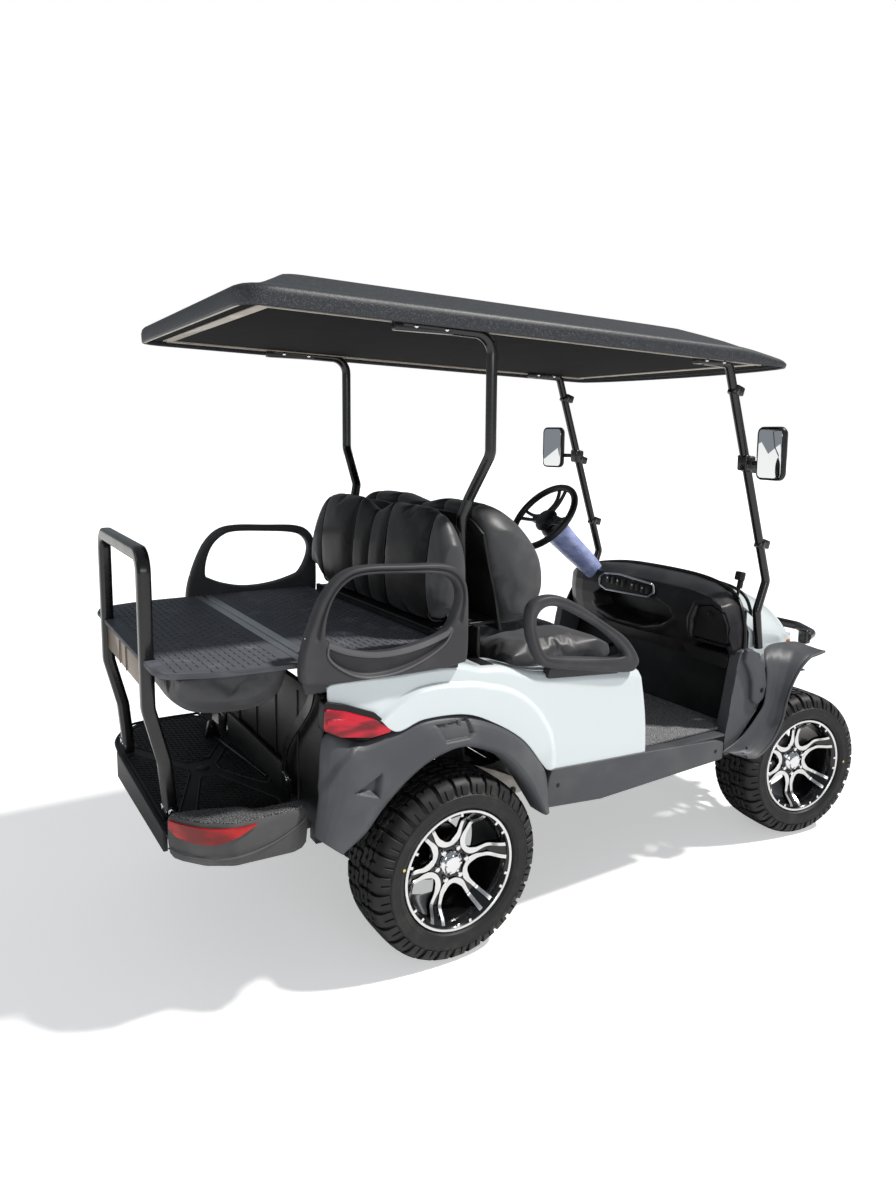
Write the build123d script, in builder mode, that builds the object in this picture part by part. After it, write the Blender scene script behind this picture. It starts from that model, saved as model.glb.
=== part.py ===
from build123d import *
import os
from math import cos, radians, sin

# Four-seat golf cart with a rear-facing flip seat, in millimetres.
# +X is forward, +Y is the driver's left, +Z is up.  Z = 0 is the floor the tyres stand on,
# and the origin is the centre of the cart's outline on that floor.

os.makedirs("parts", exist_ok=True)

# ---- running gear ----
REAR_AXLE_X = -580
WHEELBASE = 1664
FRONT_AXLE_X = REAR_AXLE_X + WHEELBASE
TYRE_R = 292
TYRE_HALF_W = 118
BEAD_R = 178
FLANGE_R = 190
RIM_BACK = -106
RIM_FACE = 106
HUB_Z = TYRE_R
WHEEL_Y = 518
HUB_BORE_R = 18.5
SHAFT_R = 18
SHAFT_END = 45
KINGPIN_Y = 415
KINGPIN_R = 22
STEER_REST = -8
ARM_BACK = 105
ARM_IN = 12

# ---- bodywork ----
BODY_Y = 590
PANEL = 25
FLOOR_TOP = 490
FLOOR_T = 14
MAT_T = 10
MAT_Y = 545
SILL_Z = 505
SEAT_SHELF_Z = 815
REAR_SHELF_Z = 905
SHELF_T = 12
FENDER_OUT_Y = 634
TUBE_R = 17

# ---- rear deck, hinge and seat ----
DECK_TOP = 990
DECK_T = 15
HINGE_X = -1026
HINGE_Z = 993
HINGE_GAP = 4
RAIL_W = 24
DECK_REAR_X = -1417
DECK_HINGE_HALF = 560
DECK_REAR_HALF = 520

# ---- grab bar ----
GRAB_Y = 305
GRAB_X = -1405
GRAB_TOP_Z = 1278
GRAB_R = 19

# ---- roof ----
ROOF_REAR_X = -1218
ROOF_SIDE_X = 827
ROOF_NOSE_X = 935
ROOF_HALF = 610
ROOF_REAR_Z = 1925
ROOF_FRONT_Z = 1877
ROOF_CORNER_R = 60
FASCIA_H = 52
CROWN_H = 128
CROWN_INSET = 165
CROWN_NOSE_INSET = 430
ROOF_T = 10
STRUT_Y = 535
POST_Y = 507


def save(solid, name):
    """Label one finished sub-part and write it under its own name."""
    solid.label = name
    export_step(solid, "parts/" + name + ".step")


def side_panel(points, inner_y, outer_y):
    """One flat-sided panel: an X-Z outline pulled from inner_y to outer_y on the left side."""
    with BuildPart(mode=Mode.PRIVATE) as panel:
        with BuildSketch(Plane.XZ.offset(-inner_y)):
            with BuildLine():
                Polyline(*points, close=True)
            make_face()
        extrude(amount=-(outer_y - inner_y))
    return panel.part


def bent_tube(points, radius, bend):
    """A round tube along straight runs joined by bends."""
    with BuildPart(mode=Mode.PRIVATE) as tube:
        with BuildLine() as run:
            FilletPolyline(*points, radius=bend)
        with BuildSketch(Plane(origin=run.line @ 0, z_dir=run.line % 0)):
            Circle(radius)
        sweep()
    return tube.part


def bar(size, centre):
    """A rectangular bar with its centre at the given place."""
    return Pos(*centre) * Box(*size, mode=Mode.PRIVATE)


def rod(radius, start, end):
    """A round rod between two points."""
    way = Vector(*end) - Vector(*start)
    with BuildPart(mode=Mode.PRIVATE) as stick:
        with BuildSketch(Plane(origin=start, z_dir=way)):
            Circle(radius)
        extrude(amount=way.length)
    return stick.part


def arch_outline(shoulder):
    """A symmetric front-view outline from one side's (y, z) points, top first."""
    return [*shoulder, *[(-y, z) for y, z in reversed(shoulder)]]


# =====================================================================================
# wheels and tyres
# =====================================================================================

with BuildPart() as rim:
    # one half section: x is the radius, y is along the axle with the outer face at +y
    with BuildSketch(Plane.XY):
        with BuildLine():
            Polyline(
                (BEAD_R - 8, RIM_BACK), (FLANGE_R, RIM_BACK), (FLANGE_R, RIM_BACK + 8),
                (BEAD_R, RIM_BACK + 10), (BEAD_R, RIM_FACE - 10), (FLANGE_R, RIM_FACE - 8),
                (FLANGE_R, RIM_FACE), (BEAD_R - 8, RIM_FACE), close=True)
        make_face()
    revolve(axis=Axis.Y)
    with BuildSketch(Plane.XZ.offset(-30)):
        Circle(58)
        with PolarLocations(0, 5):
            for lean in (-15, 15):
                with Locations(Location((0, 0, 0), (0, 0, lean))):
                    Rectangle(172, 22, align=(Align.MIN, Align.CENTER))
    extrude(amount=-34)
    with BuildSketch(Plane.XZ.offset(30)):
        Circle(48)
    extrude(amount=-64)
    with BuildSketch(Plane.XZ.offset(30)):
        Circle(HUB_BORE_R)
    extrude(amount=-(30 + SHAFT_END + 4), mode=Mode.SUBTRACT)

with BuildPart() as tyre:
    # tread and shoulders outside, air space inside, beads seated on the rim
    SECTION = ((179, 94), (193, 96), (197, 110), (240, TYRE_HALF_W), (272, 108), (288, 86), (TYRE_R, 40))
    LINING = ((276, 40), (272, 80), (258, 94), (238, 100), (206, 94), (192, 78), (179, 76))
    with BuildSketch(Plane.XY):
        with BuildLine():
            Polyline(
                *SECTION, *[(r, -w) for r, w in reversed(SECTION)],
                *[(r, -w) for r, w in reversed(LINING)], *LINING, close=True)
        make_face()
    revolve(axis=Axis.Y)

# corner: axle x, side (+1 left), steered angle at rest
WHEEL_PLACES = {
    "rear_left": (REAR_AXLE_X, 1, 0),
    "rear_right": (REAR_AXLE_X, -1, 0),
    "front_left": (FRONT_AXLE_X, 1, STEER_REST),
    "front_right": (FRONT_AXLE_X, -1, STEER_REST),
}


def kingpin_frame(side, steer):
    """The frame of one front corner, turned about its kingpin."""
    return Location((FRONT_AXLE_X, side * KINGPIN_Y, HUB_Z), (0, 0, steer))


for corner, (axle_x, side, steer) in WHEEL_PLACES.items():
    facing = Location((0, 0, 0), (0, 0, 0 if side > 0 else 180))
    if axle_x == FRONT_AXLE_X:
        place = kingpin_frame(side, steer) * Location((0, side * (WHEEL_Y - KINGPIN_Y), 0)) * facing
    else:
        place = Location((axle_x, side * WHEEL_Y, HUB_Z)) * facing
    save(rim.part.moved(place), "wheel_rim_" + corner)
    save(tyre.part.moved(place), "tyre_" + corner)

# =====================================================================================
# front knuckles and steering rack
# =====================================================================================

for side, corner in ((1, "left"), (-1, "right")):
    with BuildPart() as knuckle:
        # kingpin barrel, spindle out to the wheel, steering arm to the rear
        Cylinder(KINGPIN_R, 130)
        with BuildSketch(Plane.XZ.offset(-side * 10)):
            Circle(SHAFT_R)
        extrude(amount=-side * (WHEEL_Y - KINGPIN_Y - 10 + SHAFT_END))
        with BuildSketch(Plane.XZ.offset(-side * 15)):
            Circle(34)
        extrude(amount=-side * 50)
        with BuildSketch(Plane.XY.offset(-12)):
            with BuildLine():
                Polyline((0, -side * 16), (-ARM_BACK - 14, -side * (ARM_IN + 12)),
                         (-ARM_BACK - 14, -side * (ARM_IN - 16)), (0, side * 16), close=True)
            make_face()
        extrude(amount=14)
    save(knuckle.part.moved(kingpin_frame(side, STEER_REST)), "knuckle_" + corner)

RACK_X = FRONT_AXLE_X - ARM_BACK
RACK_Z = HUB_Z + 26
RACK_SHIFT = -ARM_BACK * sin(radians(STEER_REST))
with BuildPart() as steering_rack:
    # sliding bar with a tie rod end at each side, a little above the steering arms
    add(rod(11, (RACK_X, RACK_SHIFT - 385, RACK_Z), (RACK_X, RACK_SHIFT + 385, RACK_Z)))
    for side in (1, -1):
        with Locations((RACK_X, RACK_SHIFT + side * (KINGPIN_Y - ARM_IN), RACK_Z - 3)):
            Cylinder(19, 22)
save(steering_rack.part, "steering_rack")

# =====================================================================================
# frame, axles, springs, motor and batteries
# =====================================================================================

RAIL_Z = 435
RAIL_H = 70
MAIN_RAIL_Y = 300
NOSE_RAIL_Y = 195
with BuildPart() as frame_rails:
    # columns: x from, x to, y centre, width
    RAILS = (
        (-1000, 760, MAIN_RAIL_Y, 60),
        (700, 1330, NOSE_RAIL_Y, 50),
    )
    for x_from, x_to, rail_y, width in RAILS:
        for side in (1, -1):
            with Locations(((x_from + x_to) / 2, side * rail_y, RAIL_Z)):
                Box(x_to - x_from, width, RAIL_H)
    # cross members: x from, x to, half width
    CROSS = ((-1000, -950, 330), (-310, -262, 330), (300, 350, 330), (700, 760, 330), (1290, 1330, 220))
    for x_from, x_to, half in CROSS:
        with Locations(((x_from + x_to) / 2, 0, RAIL_Z)):
            Box(x_to - x_from, 2 * half, RAIL_H)
    # battery tray
    with Locations((-60, 0, 473)):
        Box(400, 660, 6)
save(frame_rails.part, "frame_rails")

with BuildPart() as battery_pack:
    with Locations((-60, 0, 576)):
        Box(380, 520, 200)
save(battery_pack.part, "battery_pack")

AXLE_TUBE_R = 38
with BuildPart() as rear_axle:
    # axle tube, gear casing left of the middle, brake drums and stub shafts
    add(rod(AXLE_TUBE_R, (REAR_AXLE_X, -400, HUB_Z), (REAR_AXLE_X, 400, HUB_Z)))
    add(rod(98, (REAR_AXLE_X, 20, HUB_Z), (REAR_AXLE_X, 150, HUB_Z)))
    for side in (1, -1):
        add(rod(92, (REAR_AXLE_X, side * 395, HUB_Z), (REAR_AXLE_X, side * 455, HUB_Z)))
        shaft_tip = (REAR_AXLE_X, side * (WHEEL_Y + SHAFT_END), HUB_Z)
        add(rod(SHAFT_R, (REAR_AXLE_X, side * 455, HUB_Z), shaft_tip))
save(rear_axle.part, "rear_axle")

with BuildPart() as drive_motor:
    # the motor lies beside the gear casing, behind the axle tube
    add(rod(92, (REAR_AXLE_X - 140, 15, HUB_Z), (REAR_AXLE_X - 140, -250, HUB_Z)))
save(drive_motor.part, "drive_motor")

SPRING_Y = 358
with BuildPart() as rear_springs:
    # a leaf pack, two hangers and a damper on each side
    for side in (1, -1):
        with BuildSketch(Plane.XZ.offset(-side * SPRING_Y)):
            with BuildLine():
                leaf_low = ThreePointArc((-940, 372), (REAR_AXLE_X, 330), (-220, 372))
                Line(leaf_low @ 1, (-220, 390))
                leaf_top = ThreePointArc((-220, 390), (REAR_AXLE_X, 356), (-940, 390))
                Line(leaf_top @ 1, leaf_low @ 0)
            make_face()
        extrude(amount=22, both=True)
        for hanger_x in (-930, -230):
            with Locations((hanger_x, side * 357, 398)):
                Box(36, 50, 56)
        add(rod(20, (-700, side * SPRING_Y, 352), (-790, side * SPRING_Y, 640)))
save(rear_springs.part, "rear_springs")

with BuildPart() as front_suspension:
    # steering housing on the nose rails, an upper and a lower arm and a damper at each side
    add(rod(20, (RACK_X, -150, RACK_Z), (RACK_X, 150, RACK_Z)))
    add(rod(11.5, (RACK_X, -160, RACK_Z), (RACK_X, 160, RACK_Z)), mode=Mode.SUBTRACT)
    for side in (1, -1):
        with Locations((RACK_X, side * 120, 372)):
            Box(40, 30, 74)
        for arm_z in (HUB_Z + 68, HUB_Z - 86):
            with BuildSketch(Plane.XY.offset(arm_z)):
                with BuildLine():
                    Polyline(
                        (FRONT_AXLE_X - 60, side * 172), (FRONT_AXLE_X - 16, side * (KINGPIN_Y + 14)),
                        (FRONT_AXLE_X + 16, side * (KINGPIN_Y + 14)), (FRONT_AXLE_X + 110, side * 172),
                        (FRONT_AXLE_X + 84, side * 172), (FRONT_AXLE_X, side * 360),
                        (FRONT_AXLE_X - 34, side * 172), close=True)
                make_face()
            extrude(amount=18)
        with Locations((FRONT_AXLE_X + 24, side * 190, 299)):
            Box(190, 40, 202)
        add(rod(28, (FRONT_AXLE_X + 62, side * 268, 216), (FRONT_AXLE_X + 62, side * 260, 640)))
save(front_suspension.part, "front_suspension")

# =====================================================================================
# floor and lower body
# =====================================================================================

TOE_TOP = (812, 720)
with BuildPart() as floor_pan:
    # flat floor running up into the toe board
    with BuildSketch(Plane.XZ):
        with BuildLine():
            Polyline(
                (176, FLOOR_TOP - FLOOR_T), (738, FLOOR_TOP - FLOOR_T), (TOE_TOP[0] + 12, TOE_TOP[1]),
                TOE_TOP, (730, FLOOR_TOP), (176, FLOOR_TOP), close=True)
        make_face()
    extrude(amount=535, both=True)
save(floor_pan.part, "floor_pan")

with BuildPart() as floor_mat:
    with BuildSketch(Plane.XY.offset(FLOOR_TOP)):
        with Locations((450, 0)):
            RectangleRounded(540, 1060, 30)
    extrude(amount=MAT_T)
save(floor_mat.part, "floor_mat")

ROCKER = (
    (-232, 500), (-250, 400), (-1, 378), (600, 400), (604, 470), (560, 482), (203, SILL_Z), (-215, 528),
)
with BuildPart() as rocker_panels:
    add(side_panel(ROCKER, 538, BODY_Y + 4))
    mirror(about=Plane.XZ)
save(rocker_panels.part, "rocker_panels")

# outline of the body's white side above the wheel arch, clockwise from the sill's front end
BODY_SIDE = (
    (201, 512), (190, 700), (169, 800), (-268, 846), (-404, 892), (-600, 902), (-952, 904),
    (-957, 868), (-790, 772), (-700, 800), (-560, 790), (-450, 740), (-345, 668), (-262, 566), (-212, 534),
)
with BuildPart() as rear_body:
    add(side_panel(BODY_SIDE, BODY_Y - PANEL, BODY_Y))
    mirror(about=Plane.XZ)
    # seat front wall, seat shelf, bulkhead and rear shelf between the two sides
    INSIDE_Y = BODY_Y - PANEL
    WALLS = (   # x from, x to, half width, z from, z to
        (155, 175, INSIDE_Y, 532, SEAT_SHELF_Z - 12),
        (155, 175, 530, FLOOR_TOP + 1, 540),
        (-440, 172, INSIDE_Y, SEAT_SHELF_Z - SHELF_T, SEAT_SHELF_Z),
        (-440, -425, INSIDE_Y, 800, REAR_SHELF_Z),
        (-440, -425, 390, 480, 810),
        (-950, -425, INSIDE_Y, REAR_SHELF_Z - SHELF_T, REAR_SHELF_Z),
    )
    for x_from, x_to, half, z_from, z_to in WALLS:
        with Locations(((x_from + x_to) / 2, 0, (z_from + z_to) / 2)):
            Box(x_to - x_from, 2 * half, z_to - z_from)
save(rear_body.part, "rear_body")

# arch and quarter panel behind it: opening edge first, then round the outside
with BuildPart() as rear_fenders:
    FENDER_INNER = ((-270, 408), (-330, 500), (-400, 595), (-500, 662), (-600, 680), (-705, 652),
                    (-800, 580), (-868, 508), (-960, 446))
    FENDER_OUTER = ((-1032, 503), (-1012, 640), (-994, 782), (-902, 744), (-790, 760), (-700, 788),
                    (-560, 778), (-450, 728), (-350, 656), (-266, 552), (-240, 500), (-255, 404))
    add(side_panel(FENDER_INNER + FENDER_OUTER, 556, FENDER_OUT_Y))
    mirror(about=Plane.XZ)
    # rear centre panel between the two quarter panels
    with Locations((-985, 0, 692)):
        Box(20, 1112, 380)
save(rear_fenders.part, "rear_fenders")

TAIL_LIGHT = ((-798, 765), (-957, 862), (-988, 788), (-902, 750))
with BuildPart() as tail_lights:
    add(side_panel(TAIL_LIGHT, BODY_Y - PANEL - 5, BODY_Y + 8))
    mirror(about=Plane.XZ)
save(tail_lights.part, "tail_lights")

# =====================================================================================
# front body
# =====================================================================================

NOSE_X = 1350
COWL_SHOULDER = ((260, 1010), (380, 985), (450, 930), (486, 850), (486, 480))


def cowl_form(inset):
    """The cowl's closed form: its side outline and its plan outline, both drawn in by inset."""
    with BuildPart() as form:
        with BuildSketch(Plane.XZ):
            with BuildLine():
                Polyline((846, 1008), (1010, 992), (1180, 926), (1290, 832), (NOSE_X, 700),
                         (NOSE_X, 540), (1290, 486), (846, 486), close=True)
            make_face()
            if inset:
                offset(amount=-inset, kind=Kind.INTERSECTION, mode=Mode.REPLACE)
        extrude(amount=600, both=True)
        with BuildSketch(Plane.XY.offset(400)):
            with BuildLine():
                Polyline((846, 484), (1000, 478), (1140, 448), (1262, 368), (NOSE_X, 190), (NOSE_X, -190),
                         (1262, -368), (1140, -448), (1000, -478), (846, -484), close=True)
            make_face()
            if inset:
                offset(amount=-inset, kind=Kind.INTERSECTION, mode=Mode.REPLACE)
        extrude(amount=700, mode=Mode.INTERSECT)
        # rounded shoulders
        with BuildSketch(Plane.YZ.offset(800)):
            with BuildLine():
                Polyline(*arch_outline([(y - inset, z - inset) for y, z in COWL_SHOULDER]), close=True)
            make_face()
        extrude(amount=700, mode=Mode.INTERSECT)
    return form.part


def lamp_zones():
    """The two places in the nose that the front lamps fill."""
    return [bar((230, 270, 110), (1250, side * 345, 705)) for side in (1, -1)]


ARCH_R = 400
ARCH_IN_Y = 236
cowl_outside = cowl_form(0)
cowl_inside = cowl_form(16)
with BuildPart() as front_cowl:
    add(cowl_outside)
    add(cowl_inside, mode=Mode.SUBTRACT)
    # open at the bottom and towards the dashboard
    with Locations((1108, 0, 486)):
        Box(530, 1000, 60, mode=Mode.SUBTRACT)
    with Locations((846, 0, 740)):
        Box(60, 980, 440, mode=Mode.SUBTRACT)
    # room for the front wheels
    for side in (1, -1):
        add(rod(ARCH_R, (FRONT_AXLE_X, side * ARCH_IN_Y, HUB_Z), (FRONT_AXLE_X, side * 700, HUB_Z)),
            mode=Mode.SUBTRACT)
    add(lamp_zones(), mode=Mode.SUBTRACT)
save(front_cowl.part, "front_cowl")

lens_outside = cowl_form(-3)
with BuildPart() as front_lights:
    add(lens_outside)
    add(cowl_inside, mode=Mode.SUBTRACT)
    add([bar((226, 266, 106), (1250, side * 345, 705)) for side in (1, -1)], mode=Mode.INTERSECT)
save(front_lights.part, "front_lights")

with BuildPart() as front_fenders:
    # side panel between the door opening and the wheel, then the flared lip over the wheel
    APRON = ((640, 396), (668, 470), (735, 640), (744, 772), (842, 772), (842, 560), (800, 470), (740, 396))
    FLARE = ((732, 388), (814, 469), (898, 630), (983, 706), (1082, 728), (1135, 732),
             (1135, 756), (1082, 766), (960, 748), (870, 668), (795, 500), (695, 400))
    add(side_panel(APRON, 545, 580))
    add(side_panel(FLARE, 556, FENDER_OUT_Y))
    mirror(about=Plane.XZ)
save(front_fenders.part, "front_fenders")

with BuildPart() as brush_guard:
    HOOP_X = 1405
    GUARD_END_IN = 214
    GUARD_END_OUT = 310
    HOOP = ((1250, -462, 772), (1330, -430, 772), (HOOP_X, -300, 772), (HOOP_X, 300, 772),
            (1330, 430, 772), (1250, 462, 772))
    add(bent_tube(HOOP, 19, 60))
    for side in (1, -1):
        add(rod(17, (HOOP_X, side * 195, 772), (HOOP_X, side * 195, 450)))
        add(rod(17, (HOOP_X, side * 195, 452), (1334, side * 195, 440)))
    # lower bar, with a thicker free end at each side that clamps fit on
    add(rod(17, (HOOP_X, -GUARD_END_IN, 560), (HOOP_X, GUARD_END_IN, 560)))
    for side in (1, -1):
        add(rod(19, (HOOP_X, side * GUARD_END_IN, 560), (HOOP_X, side * GUARD_END_OUT, 560)))
save(brush_guard.part, "brush_guard")

# =====================================================================================
# dashboard, controls
# =====================================================================================

COLUMN_Y = 300
COLUMN_TILT = 41
WHEEL_CENTRE = (402, COLUMN_Y, 1256)
SPIN_RING_R = 166
column_way = (cos(radians(COLUMN_TILT)), 0, -sin(radians(COLUMN_TILT)))


def along_column(distance):
    """A point on the steering column's axis, measured forward from the steering wheel."""
    return tuple(c + distance * w for c, w in zip(WHEEL_CENTRE, column_way))


SHAFT_TOP = along_column(448)
SHAFT_FOOT = (800, COLUMN_Y, 736)
SHAFT_HOLE_FOOT = tuple(top + 1.1 * (foot - top) for top, foot in zip(SHAFT_TOP, SHAFT_FOOT))
DASH_HALF = 540
DASH_SHOULDER = ((240, 1058), (380, 1030), (450, 985), (500, 930), (536, 850), (DASH_HALF, 738))
GLOVE_Y = (-530, -365)
GLOVE_Z = (792, 972)
with BuildPart() as dashboard:
    with BuildSketch(Plane.XZ):
        with BuildLine():
            Polyline((702, 1058), (668, 1036), (660, 920), (690, 760), (730, 738), (808, 738),
                     (842, 775), (842, 1034), close=True)
        make_face()
    extrude(amount=DASH_HALF, both=True)
    # the top falls away towards both ends
    with BuildSketch(Plane.YZ.offset(600)):
        with BuildLine():
            Polyline(*arch_outline(DASH_SHOULDER), close=True)
        make_face()
    extrude(amount=300, mode=Mode.INTERSECT)
    # the driver's end turns forward
    with BuildSketch(Plane.XY.offset(730)):
        with BuildLine():
            Polyline((640, -600), (640, 360), (668, 440), (720, 505), (790, DASH_HALF + 10),
                     (900, DASH_HALF + 10), (900, -600), close=True)
        make_face()
    extrude(amount=300, mode=Mode.INTERSECT)
    # open tray in the middle, glovebox on the right
    with Locations((705, -38, 857)):
        Box(150, 420, 78, mode=Mode.SUBTRACT)
    with Locations((725, sum(GLOVE_Y) / 2, sum(GLOVE_Z) / 2)):
        Box(160, GLOVE_Y[1] - GLOVE_Y[0], GLOVE_Z[1] - GLOVE_Z[0], mode=Mode.SUBTRACT)
    add(rod(46, along_column(260), along_column(452)), mode=Mode.SUBTRACT)
    add(rod(16, SHAFT_TOP, SHAFT_HOLE_FOOT), mode=Mode.SUBTRACT)
save(dashboard.part, "dashboard")

with BuildPart() as glovebox_door:
    with BuildSketch(Plane.XZ.offset(-GLOVE_Y[0] - 4)):
        with BuildLine():
            Polyline((668, GLOVE_Z[1] - 4), (679, GLOVE_Z[1] - 4), (695, GLOVE_Z[0] + 4),
                     (684, GLOVE_Z[0] + 4), close=True)
        make_face()
    extrude(amount=-(GLOVE_Y[1] - GLOVE_Y[0] - 8))
    # hinge barrel along the outer lower edge, with its leaf on the door
    with BuildSketch(Plane.XZ.offset(-GLOVE_Y[0] - 10)):
        with BuildLine():
            Polyline((677.5, 792), (682.5, 792), (684.5, 798), (684, 806), (680.5, 806), close=True)
        make_face()
    extrude(amount=-(GLOVE_Y[1] - GLOVE_Y[0] - 20))
    add(rod(3, (680, GLOVE_Y[0] + 10, 792), (680, GLOVE_Y[1] - 10, 792)))
save(glovebox_door.part, "glovebox_door")

with BuildPart() as steering_column:
    # tapered shroud from the wheel down into the dashboard, and the shaft below it
    for distance, radius in ((72, 56), (450, 36)):
        with BuildSketch(Plane(origin=along_column(distance), z_dir=column_way)):
            Circle(radius)
    loft()
    add(rod(12, SHAFT_TOP, SHAFT_FOOT))
save(steering_column.part, "steering_column")

SPIN_PLANE = Plane(origin=WHEEL_CENTRE, x_dir=(0, -1, 0), z_dir=tuple(-w for w in column_way))
with BuildPart() as steering_wheel:
    with BuildSketch(Plane(origin=SPIN_PLANE.origin + SPIN_PLANE.x_dir * SPIN_RING_R,
                           x_dir=SPIN_PLANE.x_dir, z_dir=SPIN_PLANE.y_dir)):
        Circle(15)
    revolve(axis=Axis(SPIN_PLANE.origin, SPIN_PLANE.z_dir))
    with BuildSketch(SPIN_PLANE.offset(-26)):
        Circle(52)
    extrude(amount=30)
    with BuildSketch(SPIN_PLANE.offset(-22)):
        for turn in (-12, 192, 270):
            with Locations(Location((0, 0, 0), (0, 0, turn))):
                Rectangle(156, 34, align=(Align.MIN, Align.CENTER))
    extrude(amount=16)
    with BuildSketch(SPIN_PLANE.offset(-60)):
        Circle(20)
    extrude(amount=40)
save(steering_wheel.part, "steering_wheel")

with BuildPart() as pedals:
    # accelerator and brake pads on arms from the toe board
    for pedal_y, width in ((400, 70), (230, 110)):
        with BuildSketch(Plane.XZ.offset(-pedal_y + width / 2)):
            with BuildLine():
                Polyline((640, 540), (652, 536), (700, 650), (688, 655), close=True)
            make_face()
        extrude(amount=-width)
        add(rod(9, (690, pedal_y, 640), (782, pedal_y, 650)))
save(pedals.part, "pedals")

# =====================================================================================
# seats
# =====================================================================================

with BuildPart() as front_seat_cushion:
    with BuildSketch(Plane.XZ):
        with BuildLine():
            Polyline((-330, SEAT_SHELF_Z + 1), (110, SEAT_SHELF_Z + 1), (140, 850), (128, 905), (60, 935),
                     (-330, 915), close=True)
        make_face()
    extrude(amount=505, both=True)
save(front_seat_cushion.part, "front_seat_cushion")

FRONT_BACK = ((-228, 985), (-195, 1070), (-193, 1150), (-202, 1250), (-256, 1340), (-330, 1390),
              (-398, 1400), (-424, 1375), (-316, 985))
REAR_BACK = ((-500, 1020), (-494, 1290), (-518, 1362), (-540, 1400), (-568, 1382), (-598, 1290),
             (-610, 1180), (-606, 1080), (-586, 1020))
for name, outline, half in (("front_seat_back", FRONT_BACK, 495), ("rear_seat_back", REAR_BACK, 520)):
    with BuildPart() as back:
        with BuildSketch(Plane.XZ):
            with BuildLine():
                Polyline(*outline, close=True)
            make_face()
        extrude(amount=half, both=True)
    save(back.part, name)

with BuildPart() as seat_back_frame:
    # hard shells behind the two backs, the plate under the rear back and the floor of the frame
    SHELLS = (
        ((-318, 985), (-418, 1346), (-428, 1346), (-329, 985)),
        ((-498, 1020), (-492, 1290), (-512, 1350), (-503, 1354), (-482, 1292), (-488, 1020)),
        ((-592, REAR_SHELF_Z + 1), (-592, 1014), (-336, 1014), (-336, 1004), (-580, 1004),
         (-580, REAR_SHELF_Z + 1)),
        ((-444, REAR_SHELF_Z + 1), (-432, 1004), (-420, 1004), (-432, REAR_SHELF_Z + 1)),
    )
    for outline in SHELLS:
        with BuildSketch(Plane.XZ):
            with BuildLine():
                Polyline(*outline, close=True)
            make_face()
        extrude(amount=480, both=True)
save(seat_back_frame.part, "seat_back_frame")

# armrests: outer outline, then the hand opening
FRONT_ARM = ((-268, 858), (96, 812), (146, 826), (150, 858), (30, 992), (-130, 1086), (-250, 1112),
             (-318, 1096), (-338, 1050), (-322, 950))
FRONT_ARM_HOLE = ((-232, 892), (90, 850), (104, 862), (8, 958), (-140, 1045), (-250, 1072), (-290, 1058),
                  (-298, 1030), (-280, 940))
REAR_ARM = ((-1074, 934), (-1062, 1030), (-1030, 1130), (-990, 1204), (-940, 1244), (-872, 1254),
            (-650, 1242), (-588, 1218), (-556, 1165), (-552, 930), (-700, 907), (-930, 907))
REAR_ARM_HOLE = ((-1018, 1052), (-990, 1140), (-955, 1192), (-915, 1218), (-860, 1226), (-660, 1215),
                 (-610, 1195), (-588, 1155), (-594, 1092), (-636, 1036), (-720, 1020), (-850, 1018),
                 (-970, 1034))
ARMS = (   # name, outer outline, opening, inner y, outer y
    ("front_armrests", FRONT_ARM, FRONT_ARM_HOLE, 568, 606),
    ("rear_armrests", REAR_ARM, REAR_ARM_HOLE, 574, 616),
)
for name, outline, hole, inner_y, outer_y in ARMS:
    opening = side_panel(hole, inner_y - 1, outer_y + 1)
    with BuildPart() as arms:
        add(side_panel(outline, inner_y, outer_y))
        add(opening, mode=Mode.SUBTRACT)
        mirror(about=Plane.XZ)
    save(arms.part, name)

# =====================================================================================
# rear deck, flip panel, footplate, steps and grab bar
# =====================================================================================

with BuildPart() as deck_fixed:
    with Locations(((HINGE_X + HINGE_GAP + RAIL_W - 596) / 2, 0, DECK_TOP - DECK_T / 2)):
        Box(-596 - (HINGE_X + HINGE_GAP + RAIL_W), 2 * 566, DECK_T)
    # webs down to the body's rear shelf
    for web_y in (-420, -140, 140, 420):
        with Locations((-780, web_y, (REAR_SHELF_Z + 1 + DECK_TOP - DECK_T) / 2)):
            Box(330, 20, DECK_TOP - DECK_T - REAR_SHELF_Z - 1)
save(deck_fixed.part, "deck_fixed")

PIN_R = 3.5
LEAF_T = 2
# hinge barrels, y from and y to: on the fixed rail, and on the folding panel between them
RAIL_BARRELS = ((-460, -300), (-80, 80), (300, 460))
PANEL_BARRELS = ((-298, -82), (82, 298))


def hinge_leaves(barrels, leaf_from, leaf_to):
    """Barrels on the hinge axis, each with its flat leaf lying on the deck."""
    leaves = []
    for y_from, y_to in barrels:
        leaves.append(rod(PIN_R, (HINGE_X, y_from, HINGE_Z), (HINGE_X, y_to, HINGE_Z)))
        leaves.append(bar((leaf_to - leaf_from, y_to - y_from, LEAF_T),
                          ((leaf_from + leaf_to) / 2, (y_from + y_to) / 2, DECK_TOP + LEAF_T / 2)))
    return leaves


with BuildPart() as deck_hinge_rail:
    with Locations((HINGE_X + HINGE_GAP + RAIL_W / 2, 0, DECK_TOP - DECK_T / 2)):
        Box(RAIL_W, 940, DECK_T)
    add(hinge_leaves(RAIL_BARRELS, HINGE_X, HINGE_X + HINGE_GAP + RAIL_W - 8))
save(deck_hinge_rail.part, "deck_hinge_rail")

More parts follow.
